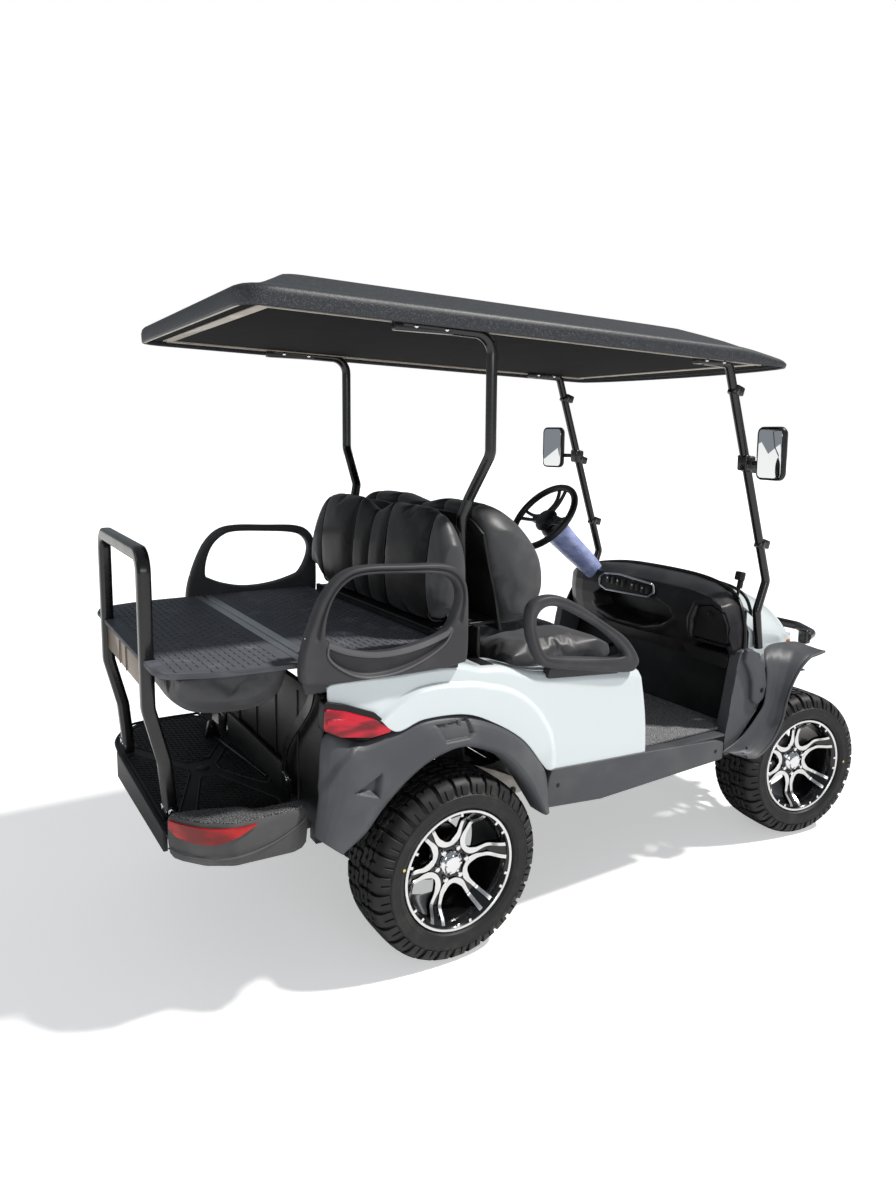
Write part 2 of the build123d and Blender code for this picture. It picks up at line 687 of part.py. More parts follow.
with BuildPart() as deck_flip_panel:
    with BuildSketch(Plane.XY.offset(DECK_TOP - DECK_T)):
        with BuildLine():
            Polyline((HINGE_X - HINGE_GAP, -DECK_HINGE_HALF), (HINGE_X - HINGE_GAP, DECK_HINGE_HALF),
                     (DECK_REAR_X + 150, DECK_REAR_HALF + 25), (DECK_REAR_X + 20, DECK_REAR_HALF - 25),
                     (DECK_REAR_X, DECK_REAR_HALF - 90), (DECK_REAR_X, 90 - DECK_REAR_HALF),
                     (DECK_REAR_X + 20, 25 - DECK_REAR_HALF), (DECK_REAR_X + 150, -DECK_REAR_HALF - 25),
                     close=True)
        make_face()
        # slots that let the panel lift past the grab bar's legs
        for side in (1, -1):
            with Locations((DECK_REAR_X, side * GRAB_Y)):
                Rectangle(2 * (GRAB_X + GRAB_R + 7 - DECK_REAR_X), 2 * GRAB_R + 14, mode=Mode.SUBTRACT)
    extrude(amount=DECK_T)
    add(hinge_leaves(PANEL_BARRELS, HINGE_X - HINGE_GAP - RAIL_W + 8, HINGE_X))
save(deck_flip_panel.part, "deck_flip_panel")

with BuildPart() as rear_seat_cushion:
    with BuildSketch(Plane.XZ):
        with BuildLine():
            Polyline((-1376, 974), (-1360, 880), (-1320, 842), (-1100, 830), (-1060, 860), (-1050, 974),
                     close=True)
        make_face()
    extrude(amount=500, both=True)
save(rear_seat_cushion.part, "rear_seat_cushion")

STEP_OUT_Y = 562
FOOT_HALF = 284
FOOT_LEFT_Y = 590
LIP_RIGHT_Y = -385
LIP_LEFT_Y = 300
# border that the footplate and the step share, from the rear corner to the body
STEP_BORDER = ((-1386, -420), (-1300, -424), (-1200, -452), (-1160, -498), (-1110, -506), (-1036, -508))
with BuildPart() as footplate:
    # tread plate with its wide left-hand wing and its edge along the step, rear lip,
    # side beams to the frame and riser to the body
    with BuildSketch(Plane.XY.offset(506)):
        with BuildLine():
            Polyline(*STEP_BORDER, (-1006, -FOOT_HALF), (-1006, FOOT_HALF), (-1040, 560),
                     (-1070, FOOT_LEFT_Y), (-1262, FOOT_LEFT_Y), (-1318, 540), (-1376, 420),
                     (-1386, LIP_LEFT_Y), close=True)
        make_face()
    extrude(amount=12)
    with Locations((-1386, (LIP_LEFT_Y + LIP_RIGHT_Y) / 2, 480)):
        Box(12, LIP_LEFT_Y - LIP_RIGHT_Y, 88)
    for side in (1, -1):
        with Locations((-1196, side * 270, 485)):
            Box(384, 28, 50)
        with Locations((-1015, side * 270, 470)):
            Box(28, 28, 90)
    with Locations((-1012, 0, 560)):
        Box(14, 2 * FOOT_HALF, 96)
save(footplate.part, "footplate")

with BuildPart() as rear_step:
    # the step stands at the right-hand side of the footplate only
    with BuildSketch(Plane.XY.offset(464)):
        with BuildLine():
            Polyline(*STEP_BORDER, (-1036, 17 - STEP_OUT_Y), (-1070, -STEP_OUT_Y), (-1250, -STEP_OUT_Y),
                     (-1325, -510), (-1366, -450), close=True)
        make_face()
    extrude(amount=110)
save(rear_step.part, "rear_step")

with BuildPart() as grab_bar:
    HALF_BAR = ((-1354, GRAB_Y, 548), (-1370, GRAB_Y, 700), (GRAB_X, GRAB_Y, 900),
                (GRAB_X, GRAB_Y, GRAB_TOP_Z))
    add(bent_tube(HALF_BAR + tuple((x, -y, z) for x, y, z in reversed(HALF_BAR)), GRAB_R, 62))
    # plate between the legs that the closed deck rests above
    with Locations((GRAB_X, 0, 932)):
        Box(10, 2 * GRAB_Y, 72)
save(grab_bar.part, "grab_bar")

# =====================================================================================
# roof and its supports
# =====================================================================================

ROOF_TILT = (ROOF_REAR_Z - ROOF_FRONT_Z) / (ROOF_SIDE_X - ROOF_REAR_X)
roof_plane = Plane(origin=(0, 0, ROOF_REAR_Z + ROOF_TILT * ROOF_REAR_X), x_dir=(1, 0, -ROOF_TILT),
                   z_dir=(ROOF_TILT, 0, 1))


def roof_z(x):
    """Height of the roof's lower edge at x."""
    return ROOF_REAR_Z - ROOF_TILT * (x - ROOF_REAR_X)


def roof_form(levels):
    """A closed roof form lofted through plan outlines: (height, inset, inset at the nose)."""
    with BuildPart() as form:
        for height, inset, nose_inset in levels:
            with BuildSketch(roof_plane.offset(height)):
                with BuildLine():
                    rear_x = ROOF_REAR_X + inset
                    front_x = ROOF_SIDE_X - nose_inset
                    half = ROOF_HALF - inset
                    cut = ROOF_CORNER_R
                    Polyline((front_x, -half), (rear_x + cut, -half), (rear_x, -half + cut),
                             (rear_x, half - cut), (rear_x + cut, half), (front_x, half))
                    ThreePointArc((front_x, half), (ROOF_NOSE_X - nose_inset, 0), (front_x, -half))
                make_face()
        loft(ruled=True)
    return form.part


roof_outside = roof_form(((0, 4, 4), (FASCIA_H, 0, 0), (CROWN_H, CROWN_INSET, CROWN_NOSE_INSET)))
roof_hollow = roof_form(((-1, 4 + ROOF_T, 4 + ROOF_T), (FASCIA_H - 6, ROOF_T, ROOF_T),
                         (CROWN_H - ROOF_T, CROWN_INSET, CROWN_NOSE_INSET)))
with BuildPart() as roof:
    add(roof_outside)
    add(roof_hollow, mode=Mode.SUBTRACT)
save(roof.part, "roof")

with BuildPart() as roof_rails:
    # long channels that carry the roof, and a cross channel at each end
    for side in (1, -1):
        with BuildSketch(roof_plane.offset(26)):
            with Locations((-170, side * STRUT_Y)):
                Rectangle(1900, 44)
        extrude(amount=22)
    for cross_x in (-1100, 755):
        with BuildSketch(roof_plane.offset(26)):
            with Locations((cross_x, 0)):
                Rectangle(40, 2 * STRUT_Y)
        extrude(amount=22)
save(roof_rails.part, "roof_rails")

with BuildPart() as roof_struts:
    FOOT_Z = roof_z(-580) + 8
    STRUT = ((-740, STRUT_Y, FOOT_Z), (-434, STRUT_Y, FOOT_Z - 5), (-434, STRUT_Y, 1553), (-441, 424, 1410),
             (-458, 410, 1350), (-456, 410, 1016))
    add(bent_tube(STRUT, TUBE_R, (45, 40, 30, 30)))
    mirror(about=Plane.XZ)
save(roof_struts.part, "roof_struts")

with BuildPart() as windshield_posts:
    POST = ((500, POST_Y, roof_z(500) + 8), (634, POST_Y, roof_z(634) + 8), (677, POST_Y, 1755),
            (801, POST_Y, 1376), (908, POST_Y, 1050), (862, POST_Y, 930), (884, POST_Y, 780))
    add(bent_tube(POST, TUBE_R, 26))
    mirror(about=Plane.XZ)
save(windshield_posts.part, "windshield_posts")

with BuildPart() as mirrors:
    MIRROR_CENTRE = (712, 650, 1558)
    MIRROR_YAW = radians(7)
    with BuildSketch(Plane(origin=MIRROR_CENTRE, x_dir=(-sin(MIRROR_YAW), cos(MIRROR_YAW), 0),
                           z_dir=(cos(MIRROR_YAW), sin(MIRROR_YAW), 0))):
        RectangleRounded(132, 196, 28)
    extrude(amount=32)
    add(rod(9, (744, POST_Y + 19, 1520), (734, 606, 1520)))
    mirror(about=Plane.XZ)
save(mirrors.part, "mirrors")
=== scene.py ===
"""A four-seat golf cart: detailed pieces and finishes around its packed construction model."""

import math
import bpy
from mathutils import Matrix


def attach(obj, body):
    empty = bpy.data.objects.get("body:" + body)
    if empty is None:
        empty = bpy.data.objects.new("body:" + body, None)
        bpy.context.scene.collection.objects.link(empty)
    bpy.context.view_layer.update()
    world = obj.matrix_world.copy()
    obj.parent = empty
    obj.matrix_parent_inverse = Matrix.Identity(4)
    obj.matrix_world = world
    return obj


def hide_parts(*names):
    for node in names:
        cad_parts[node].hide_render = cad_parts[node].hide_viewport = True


bl_info = {
    "name": "Golf Cart",
    "version": (1, 0, 0),
    "blender": (4, 5, 0),
    "location": "View3D > Sidebar > Golf Cart",
    "description": "Builds the visible pieces of a lifted four-seat golf cart",
    "category": "Add Mesh",
}

import bmesh
import bpy
from bpy.props import FloatProperty, FloatVectorProperty, IntProperty, PointerProperty
from mathutils import Matrix, Vector, noise

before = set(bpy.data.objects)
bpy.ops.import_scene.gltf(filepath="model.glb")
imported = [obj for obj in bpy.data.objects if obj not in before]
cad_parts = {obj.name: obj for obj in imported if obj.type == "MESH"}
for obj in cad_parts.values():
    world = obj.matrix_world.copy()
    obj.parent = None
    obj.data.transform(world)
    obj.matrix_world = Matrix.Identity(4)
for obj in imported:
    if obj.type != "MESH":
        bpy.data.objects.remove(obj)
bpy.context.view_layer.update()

# Every shape below is drawn in millimetres, +X forward, +Y to the driver's left, +Z up.
MM = 0.001
SIDES = {"left": 1, "right": -1}


# ---------------------------------------------------------------------------------------
# shader tools
# ---------------------------------------------------------------------------------------

class Value:
    """A shader socket that takes Python arithmetic; each operator adds one Math node."""

    def __init__(self, finish, socket):
        self.finish = finish
        self.socket = socket

    def math(self, operation, *values):
        """One Math node over the given values, which are sockets or numbers."""
        return self.finish.node("ShaderNodeMath", {"operation": operation}, dict(enumerate(values)))

    def __add__(self, other):
        return self.math("ADD", self, other)

    def __mul__(self, other):
        return self.math("MULTIPLY", self, other)

    def __sub__(self, other):
        return self.math("SUBTRACT", self, other)

    def __rsub__(self, other):
        return self.math("SUBTRACT", other, self)

    __radd__ = __add__
    __rmul__ = __mul__

    def between(self, low, high):
        """0 below low, 1 above high, and a smooth step between them."""
        settings = {"interpolation_type": "SMOOTHSTEP"}
        return self.finish.node("ShaderNodeMapRange", settings, {0: self, 1: low, 2: high})


class Nodes:
    """A node tree, and the one way nodes are added to it."""

    def __init__(self, tree):
        self.tree = tree

    def put(self, socket, value):
        """Set a socket to a constant or link a value to it."""
        if isinstance(value, Value):
            self.tree.links.new(value.socket, socket)
        else:
            socket.default_value = value

    def node(self, kind, settings=None, inputs=None, output=0):
        """Add a node: its settings first, then the values or links of its sockets."""
        node = self.tree.nodes.new(kind)
        for key, value in (settings or {}).items():
            setattr(node, key, value)
        for key, value in (inputs or {}).items():
            self.put(node.inputs[key], value)
        return Value(self, node.outputs[output]) if node.outputs else None


class Finish(Nodes):
    """One material: a Principled shader and the nodes that feed it."""

    def __init__(self, name, colour, roughness, metallic=0.0, coat=0.0, shine=0.34):
        self.material = bpy.data.materials.new(name)
        self.material.use_nodes = True
        super().__init__(self.material.node_tree)
        self.shader = self.tree.nodes["Principled BSDF"]
        self.feed("Base Color", (*colour, 1.0))
        self.feed("Roughness", roughness)
        self.feed("Metallic", metallic)
        self.feed("Coat Weight", coat)
        self.feed("Coat Roughness", 0.06)
        self.feed("Specular IOR Level", shine)

    def feed(self, name, value):
        """Set or link one of the Principled shader's own sockets."""
        self.put(self.shader.inputs[name], value)

    def place(self, stretch=(1, 1, 1)):
        """The point on the piece in metres, stretched along the axes."""
        where = self.node("ShaderNodeTexCoord", output="Object")
        return self.node("ShaderNodeMapping", {}, {"Vector": where, "Scale": stretch})

    def noise(self, scale, detail=2.0, stretch=(1, 1, 1)):
        """Soft noise with about scale blobs to the metre."""
        inputs = {"Vector": self.place(stretch), "Scale": scale, "Detail": detail}
        return self.node("ShaderNodeTexNoise", {}, inputs)

    def cells(self, scale, feature="F1", stretch=(1, 1, 1)):
        """Distance inside a field of cells, scale cells to the metre."""
        return self.node("ShaderNodeTexVoronoi", {"feature": feature},
                         {"Vector": self.place(stretch), "Scale": scale})

    def mix(self, factor, first, second):
        """Blend two colours."""
        first, second = [c if isinstance(c, Value) else (*c, 1.0) for c in (first, second)]
        # a colour Mix has its factor and its two colours in these sockets, and its result in the third output
        return self.node("ShaderNodeMix", {"data_type": "RGBA"}, {0: factor, 6: first, 7: second}, output=2)

    def bump(self, *layers):
        """Raise the surface by (height, depth in millimetres) layers, one Bump node each."""
        normal = None
        for height, depth in layers:
            inputs = {"Height": height, "Distance": depth * MM, "Strength": 1.0}
            if normal:
                inputs["Normal"] = normal
            normal = self.node("ShaderNodeBump", {}, inputs)
        self.feed("Normal", normal)


# ---------------------------------------------------------------------------------------
# finishes
# ---------------------------------------------------------------------------------------

def moulded_plastic(name, colour, roughness, grain=260, depth=0.12, dust=0.35, shine=0.34):
    """Grained plastic: a leather-like grain, faint scuffs and a little pale dust."""
    finish = Finish(name, colour, roughness, shine=shine)
    fine = finish.cells(grain)
    clouds = finish.noise(7, 5)
    pale = tuple(c + (0.20 - c) * dust for c in colour)
    finish.feed("Base Color", finish.mix(clouds.between(0.42, 0.75), colour, pale))
    finish.feed("Roughness", clouds * 0.16 + (roughness - 0.06) + fine * 0.05)
    finish.bump((fine, depth), (finish.noise(40, 3), 0.25))
    return finish.material


def body_paint(name, colour):
    """White gloss on moulded panels, with a faint orange peel."""
    finish = Finish(name, colour, 0.24, coat=0.55, shine=0.5)
    clouds = finish.noise(3, 3)
    cooler = (colour[0] * 0.95, colour[1] * 0.985, colour[2])
    finish.feed("Base Color", finish.mix(clouds, cooler, colour))
    finish.feed("Roughness", finish.noise(16, 3) * 0.08 + 0.2)
    finish.bump((finish.noise(260, 1), 0.012), (finish.noise(9, 2), 0.12))
    return finish.material


def steel_paint(name, colour, roughness, metallic=0.0, coat=0.25, shine=0.5):
    """Powder coat on steel tube: satin gloss, a fine peel and a few dull patches."""
    finish = Finish(name, colour, roughness, metallic, coat, shine)
    patches = finish.noise(12, 4)
    lighter = tuple(c * 1.5 + 0.012 for c in colour)
    finish.feed("Base Color", finish.mix(patches.between(0.5, 0.8), colour, lighter))
    finish.feed("Roughness", patches * 0.14 + (roughness - 0.05))
    finish.bump((finish.noise(620, 2), 0.03))
    return finish.material


def vinyl(name, colour, roughness=0.42, shine=0.34):
    """Seat vinyl: fine pebble grain over soft creases."""
    finish = Finish(name, colour, roughness, shine=shine)
    pebbles = finish.cells(520)
    folds = finish.noise(11, 3)
    # painted highlight and shade: the vinyl is lighter on the crests of its creases than in their troughs,
    # following the bump
    crest_highlight = tuple(c * 1.35 + 0.01 for c in colour)
    finish.feed("Base Color", finish.mix(folds.between(0.45, 0.75), colour, crest_highlight))
    finish.feed("Roughness", folds * 0.12 + (roughness - 0.05))
    finish.feed("Sheen Weight", 0.08)
    finish.bump((folds, 1.2), (pebbles, 0.10))
    return finish.material


def rubber(name):
    """Tyre rubber with fine mould lines and dust in the low places."""
    base = (0.014, 0.014, 0.015)
    finish = Finish(name, base, 0.6)
    clouds = finish.noise(18, 5)
    finish.feed("Base Color", finish.mix(clouds.between(0.45, 0.8), base, (0.034, 0.033, 0.032)))
    finish.feed("Roughness", clouds * 0.2 + 0.44)
    finish.bump((finish.noise(300, 4), 0.25))
    return finish.material


def machined(name):
    """Bright turned aluminium on the wheel faces."""
    finish = Finish(name, (0.80, 0.80, 0.81), 0.24, metallic=1.0)
    streaks = finish.noise(900, 2, (1, 0.1, 1))
    finish.feed("Roughness", streaks * 0.12 + 0.2)
    finish.feed("Base Color", finish.mix(finish.noise(30, 3), (0.70, 0.70, 0.72), (0.88, 0.88, 0.88)))
    finish.bump((streaks, 0.01))
    return finish.material


def chrome(name):
    """Plated caps, lugs and washers."""
    finish = Finish(name, (0.83, 0.84, 0.86), 0.08, metallic=1.0)
    smudge = finish.noise(60, 3)
    finish.feed("Roughness", smudge * 0.12 + 0.04)
    return finish.material


def brushed(name, colour, roughness=0.36):
    """Mill-finish aluminium, brushed across the cart."""
    finish = Finish(name, colour, roughness, metallic=1.0)
    streaks = finish.noise(700, 3, (1, 0.03, 1))
    dark = tuple(c * 0.72 for c in colour)
    finish.feed("Base Color", finish.mix(streaks, dark, colour))
    finish.feed("Roughness", streaks * 0.2 + (roughness - 0.1))
    finish.bump((streaks, 0.03))
    return finish.material


def carpet(name, dark, light, tufts):
    """Short looped carpet in two mixed yarns, with about this many tufts to the metre."""
    finish = Finish(name, dark, 0.95, shine=0.1)
    yarn = finish.cells(420)
    speckle = finish.noise(tufts, 3)
    finish.feed("Base Color", finish.mix(speckle.between(0.46, 0.57), dark, light))
    finish.bump((yarn, 1.4), (finish.noise(90, 2), 0.8))
    return finish.material


def lens(name, colour, glow=0.0):
    """Moulded lamp lens: deep colour under gloss, with broad facets inside."""
    finish = Finish(name, colour, 0.16, coat=0.3)
    facets = finish.noise(17, 1, (0.6, 0.4, 1.6))
    dark = tuple(c * 0.30 for c in colour)
    finish.feed("Base Color", finish.mix(facets.between(0.35, 0.62), dark, colour))
    finish.feed("Roughness", facets * 0.1 + 0.12)
    finish.bump((finish.noise(14, 0, (1, 0.4, 1.5)), 2.0))
    finish.feed("Emission Color", (*colour, 1.0))
    finish.feed("Emission Strength", glow)
    return finish.material


def film_wrap(name):
    """Pale blue protective film, wrinkled round the column."""
    finish = Finish(name, (0.36, 0.42, 0.72), 0.26, coat=0.4)
    folds = finish.noise(16, 2, (1, 1, 2.2))
    # painted shade and highlight: the film is darker in the troughs of its wrinkles and lighter on their
    # crests, following the bump
    finish.feed("Base Color", finish.mix(folds.between(0.3, 0.75), (0.30, 0.36, 0.66), (0.44, 0.50, 0.80)))
    finish.feed("Roughness", folds * 0.2 + 0.16)
    finish.bump((folds, 4.0), (finish.noise(55, 2), 0.8))
    return finish.material


def cast_metal(name, colour, roughness=0.55):
    """Painted castings and pressings under the cart, with road dust."""
    finish = Finish(name, colour, roughness, metallic=0.2)
    dust = finish.noise(14, 6)
    finish.feed("Base Color", finish.mix(dust.between(0.42, 0.78), colour, (0.14, 0.13, 0.12)))
    finish.feed("Roughness", dust * 0.3 + (roughness - 0.12))
    finish.bump((finish.noise(210, 4), 0.35))
    return finish.material


def roof_skin(name, colour):
    """Coarse textured roof plastic with lighter flecks where the grain catches the light."""
    finish = Finish(name, colour, 0.5)
    grain = finish.noise(330, 3)
    clouds = finish.noise(4, 4)
    finish.feed("Base Color", finish.mix(grain.between(0.5, 0.72), colour, (0.105, 0.112, 0.125)))
    finish.feed("Roughness", clouds * 0.16 + 0.36)
    finish.bump((grain, 0.6), (finish.noise(60, 3), 0.6))
    return finish.material


def mirror_glass(name):
    """Silvered glass."""
    finish = Finish(name, (0.86, 0.88, 0.89), 0.02, metallic=1.0)
    finish.feed("Roughness", finish.noise(20, 2) * 0.03 + 0.01)
    return finish.material


class CartColours(bpy.types.PropertyGroup):
    """The colours a buyer picks."""

    body: FloatVectorProperty(name="Body", description="Painted body panels", subtype="COLOR",
                              default=(0.72, 0.77, 0.79), min=0, max=1)
    trim: FloatVectorProperty(name="Trim", description="Grained plastic fenders and rockers", subtype="COLOR",
                              default=(0.070, 0.074, 0.083), min=0, max=1)
    roof: FloatVectorProperty(name="Roof", description="Textured roof", subtype="COLOR",
                              default=(0.030, 0.033, 0.038), min=0, max=1)
    seats: FloatVectorProperty(name="Seats", description="Seat vinyl", subtype="COLOR",
                               default=(0.034, 0.034, 0.036), min=0, max=1)


class CartSizes(bpy.types.PropertyGroup):
    """Sizes of the fine details."""

    tread_lugs: IntProperty(name="Tread lugs", description="Shoulder lugs round each tyre", default=30,
                            min=24, max=48)
    spokes: IntProperty(name="Spokes", description="Double spokes in each wheel", default=6, min=4, max=8)
    sun: FloatProperty(name="Sun", description="Strength of the sun lamp", default=3.6, min=0.5, max=6.0)


FINISHES = {}


def make_finishes(colours):
    """Every finish the cart uses, by the name the pieces ask for."""
    FINISHES.update({
        "body": body_paint("body_paint", tuple(colours.body)),
        "trim": moulded_plastic("fender_plastic", tuple(colours.trim), 0.42, 230, 0.16, 0.2),
        "black": moulded_plastic("black_plastic", (0.007, 0.007, 0.008), 0.36, 320, 0.08, 0.08),
        "arm": moulded_plastic("armrest_plastic", (0.052, 0.052, 0.057), 0.44, 240, 0.10, 0.15, 0.2),
        "step": moulded_plastic("step_plastic", (0.078, 0.078, 0.080), 0.62, 200, 0.14, 0.35),
        "roof": roof_skin("roof_plastic", tuple(colours.roof)),
        "roof_under": moulded_plastic("roof_lining", (0.005, 0.005, 0.0055), 0.8, 200, 0.1, 0.03, 0.06),
        "tube": steel_paint("black_tube", (0.004, 0.004, 0.0045), 0.26),
        "deck": steel_paint("deck_coat", (0.098, 0.104, 0.118), 0.5, coat=0.0, shine=0.1),
        "deck_margin": steel_paint("deck_margin", (0.060, 0.062, 0.068), 0.36),
        "foot": moulded_plastic("footplate_plastic", (0.012, 0.012, 0.013), 0.5, 150, 0.15, 0.08),
        "seat": vinyl("seat_vinyl", tuple(colours.seats)),
        "seat_side": vinyl("seat_side_vinyl", (0.058, 0.059, 0.063)),
        "seat_black": vinyl("seat_black_vinyl", (0.011, 0.0108, 0.0115), 0.40, 0.2),
        "rubber": rubber("tyre_rubber"),
        "rim": steel_paint("wheel_gloss_black", (0.006, 0.006, 0.007), 0.12),
        "machined": machined("machined_face"),
        "chrome": chrome("chrome"),
        "bronze": steel_paint("bronze_plate", (0.16, 0.105, 0.062), 0.4, 0.3),
        "aluminium": brushed("hinge_aluminium", (0.62, 0.64, 0.66)),
        "rail": steel_paint("roof_channel_paint", (0.42, 0.37, 0.31), 0.5),
        "frame": steel_paint("frame_paint", (0.62, 0.59, 0.53), 0.45),
        "carpet": carpet("floor_carpet", (0.09, 0.09, 0.095), (0.40, 0.40, 0.41), 340),
        "step_carpet": carpet("step_carpet", (0.045, 0.045, 0.047), (0.21, 0.21, 0.21), 260),
        "red": lens("red_lens", (0.54, 0.001, 0.022), 0.06),
        # the reflector's faint glow is painted light: a reflector is no lamp
        "red_reflector": lens("red_reflector", (0.50, 0.003, 0.005), 0.06),
        "amber": lens("amber_lens", (0.85, 0.30, 0.03), 0.08),
        "clear": lens("clear_lens", (0.70, 0.72, 0.76)),
        "film": film_wrap("column_film"),
        "iron": cast_metal("cast_iron", (0.030, 0.030, 0.032)),
        "motor": cast_metal("motor_case", (0.055, 0.058, 0.062)),
        "battery": moulded_plastic("battery_case", (0.022, 0.022, 0.026), 0.5, 120, 0.1),
        "mirror": mirror_glass("mirror_glass"),
        # a lighter, glossier plastic for thin rims and lines: a painted highlight along the edges it covers
        "arm_rim": moulded_plastic("rim_painted_highlight", (0.11, 0.11, 0.12), 0.32, 240, 0.05, 0.3),
        "dash": moulded_plastic("dash_plastic", (0.013, 0.013, 0.015), 0.34, 320, 0.08, 0.10),
        "yellow": steel_paint("balance_dot", (0.75, 0.58, 0.16), 0.5),
    })


# ---------------------------------------------------------------------------------------
# shape tools, all in millimetres
# ---------------------------------------------------------------------------------------

def lerp(first, second, share):
    return first + (second - first) * share


def smooth(low, high, value):
    """A smooth step from 0 at low to 1 at high."""
    share = min(max((value - low) / (high - low), 0.0), 1.0)
    return share * share * (3 - 2 * share)


def follow(points, share):
    """The point at a share of the length of a smooth line through points of any dimension."""
    points = [Vector(p) for p in points]
    runs = [(b - a).length for a, b in zip(points, points[1:])]
    distance = share * sum(runs)
    index = 0
    while index < len(runs) - 1 and distance > runs[index]:
        distance -= runs[index]
        index += 1
    t = distance / runs[index]
    a, b = points[index], points[index + 1]
    before = points[index - 1] if index else a * 2 - b
    after = points[index + 2] if index + 2 < len(points) else b * 2 - a
    return (b * 2 * t + a * 2 * (1 - t) + (b - before) * t * (1 - t) ** 2
            - (after - a) * t * t * (1 - t) + (a - b) * 2 * t * (1 - t) * (1 - 2 * t)) * 0.5


def along(points, share):
    """The point at a share of the length of straight runs through the points."""
    points = [Vector(p) for p in points]
    runs = [(b - a).length for a, b in zip(points, points[1:])]
    distance = share * sum(runs)
    for run, a, b in zip(runs, points, points[1:]):
        if distance <= run or b is points[-1]:
            return a.lerp(b, min(distance / run, 1.0))
        distance -= run


def rounded(points, radius, steps=5):
    """A closed flat outline with each corner turned into an arc; radius may be one per corner."""
    radii = radius if isinstance(radius, (list, tuple)) else [radius] * len(points)
    points = [Vector(p) for p in points]
    outline = []
    for index, (corner, size) in enumerate(zip(points, radii)):
        back = points[index - 1] - corner
        ahead = points[(index + 1) % len(points)] - corner
        half = back.angle(ahead) / 2
        reach = min(size / math.tan(half), back.length * 0.49, ahead.length * 0.49)
        start = corner + back.normalized() * reach
        end = corner + ahead.normalized() * reach
        for step in range(steps + 1):
            t = step / steps
            outline.append(start * (1 - t) ** 2 + corner * 2 * t * (1 - t) + end * t * t)
    return outline


def ringed(points, count):
    """A smooth closed line through flat points, as count points at equal steps."""
    points = [Vector(p) for p in points]
    size = len(points)
    fine = []
    for index in range(size):
        a, b, c, d = (points[(index + shift) % size] for shift in (-1, 0, 1, 2))
        for step in range(10):
            t = step / 10
            fine.append((b * 2 + (c - a) * t + (a * 2 - b * 5 + c * 4 - d) * t * t
                         + (b * 3 - a - c * 3 + d) * t ** 3) * 0.5)
    fine.append(fine[0])
    runs = [(q - p).length for p, q in zip(fine, fine[1:])]
    step = sum(runs) / count
    line, index, passed = [], 0, 0.0
    for k in range(count):
        while passed + runs[index] < k * step:
            passed += runs[index]
            index += 1
        line.append(fine[index].lerp(fine[index + 1], (k * step - passed) / runs[index]))
    return line


def put(plane, a, b, depth):
    """A point from its two coordinates in a plane and its place across it."""
    return {"xz": Vector((a, depth, b)), "xy": Vector((a, b, depth)), "yz": Vector((depth, a, b))}[plane]


def ease(bm, width, segments=3, angle=30):
    """Round the edges that turn by more than the angle."""
    edges = [e for e in bm.edges if len(e.link_faces) == 2 and e.calc_face_angle() > math.radians(angle)]
    bmesh.ops.bevel(bm, geom=edges, offset=width, segments=segments, profile=0.5, affect="EDGES",
                    material=-1, clamp_overlap=True)
    return bm


def slab(outline, low, high, plane="xz", edge=0.0, segments=3):
    """A plate with a flat outline, pulled from low to high across its plane."""
    bm = bmesh.new()
    face = bm.faces.new([bm.verts.new(put(plane, p[0], p[1], low)) for p in outline])
    pulled = bmesh.ops.extrude_face_region(bm, geom=[face])["geom"]
    top = [v for v in pulled if isinstance(v, bmesh.types.BMVert)]
    bmesh.ops.translate(bm, verts=top, vec=put(plane, 0, 0, high - low))
    bmesh.ops.recalc_face_normals(bm, faces=bm.faces)
    return ease(bm, edge, segments) if edge else bm


def block(size, centre=(0, 0, 0), edge=0.0, turn=None):
    """A box with eased edges, turned about its centre if asked."""
    bm = bmesh.new()
    bmesh.ops.create_cube(bm, size=1.0)
    bmesh.ops.scale(bm, vec=size, verts=bm.verts)
    if edge:
        ease(bm, edge)
    matrix = Matrix.Translation(centre) @ (turn.to_4x4() if turn else Matrix.Identity(4))
    bmesh.ops.transform(bm, matrix=matrix, verts=bm.verts)
    return bm


def surface(across, lengthwise, place, merge=0.0, flip=False):
    """A sheet of cells whose points go where place(u, v) says, with u and v from 0 to 1."""
    bm = bmesh.new()
    bmesh.ops.create_grid(bm, x_segments=across, y_segments=lengthwise, size=0.5)
    for vert in bm.verts:
        vert.co = place(vert.co.x + 0.5, vert.co.y + 0.5)
    if merge:
        bmesh.ops.remove_doubles(bm, verts=bm.verts, dist=merge)
        bmesh.ops.recalc_face_normals(bm, faces=bm.faces)
    if flip:
        bmesh.ops.reverse_faces(bm, faces=bm.faces)
    return bm


def turned(profile, steps, angle=math.tau):
    """A form turned about the Y axis from a profile of (radius, y) points."""
    bm = bmesh.new()
    verts = [bm.verts.new((r, y, 0)) for r, y in profile]
    edges = [bm.edges.new(pair) for pair in zip(verts, verts[1:])]
    full = abs(angle - math.tau) < 1e-6
    bmesh.ops.spin(bm, geom=verts + edges, cent=(0, 0, 0), axis=(0, 1, 0), angle=angle, steps=steps,
                   use_merge=full, use_duplicate=False)
    bmesh.ops.remove_doubles(bm, verts=bm.verts, dist=0.01)
    bmesh.ops.recalc_face_normals(bm, faces=bm.faces)
    return bm


def rod(start, end, radius, sides=16, edge=0.0, tip=None):
    """A round rod between two points; tip is the radius at its far end."""
    start, end = Vector(start), Vector(end)
    bm = bmesh.new()
    turn = (end - start).to_track_quat("Z", "Y").to_matrix().to_4x4()
    bmesh.ops.create_cone(bm, cap_ends=True, segments=sides, radius1=radius,
                          radius2=radius if tip is None else tip, depth=(end - start).length)
    if edge:
        ease(bm, edge, 2, 50)
    bmesh.ops.transform(bm, matrix=Matrix.Translation((start + end) / 2) @ turn, verts=bm.verts)
    return bm


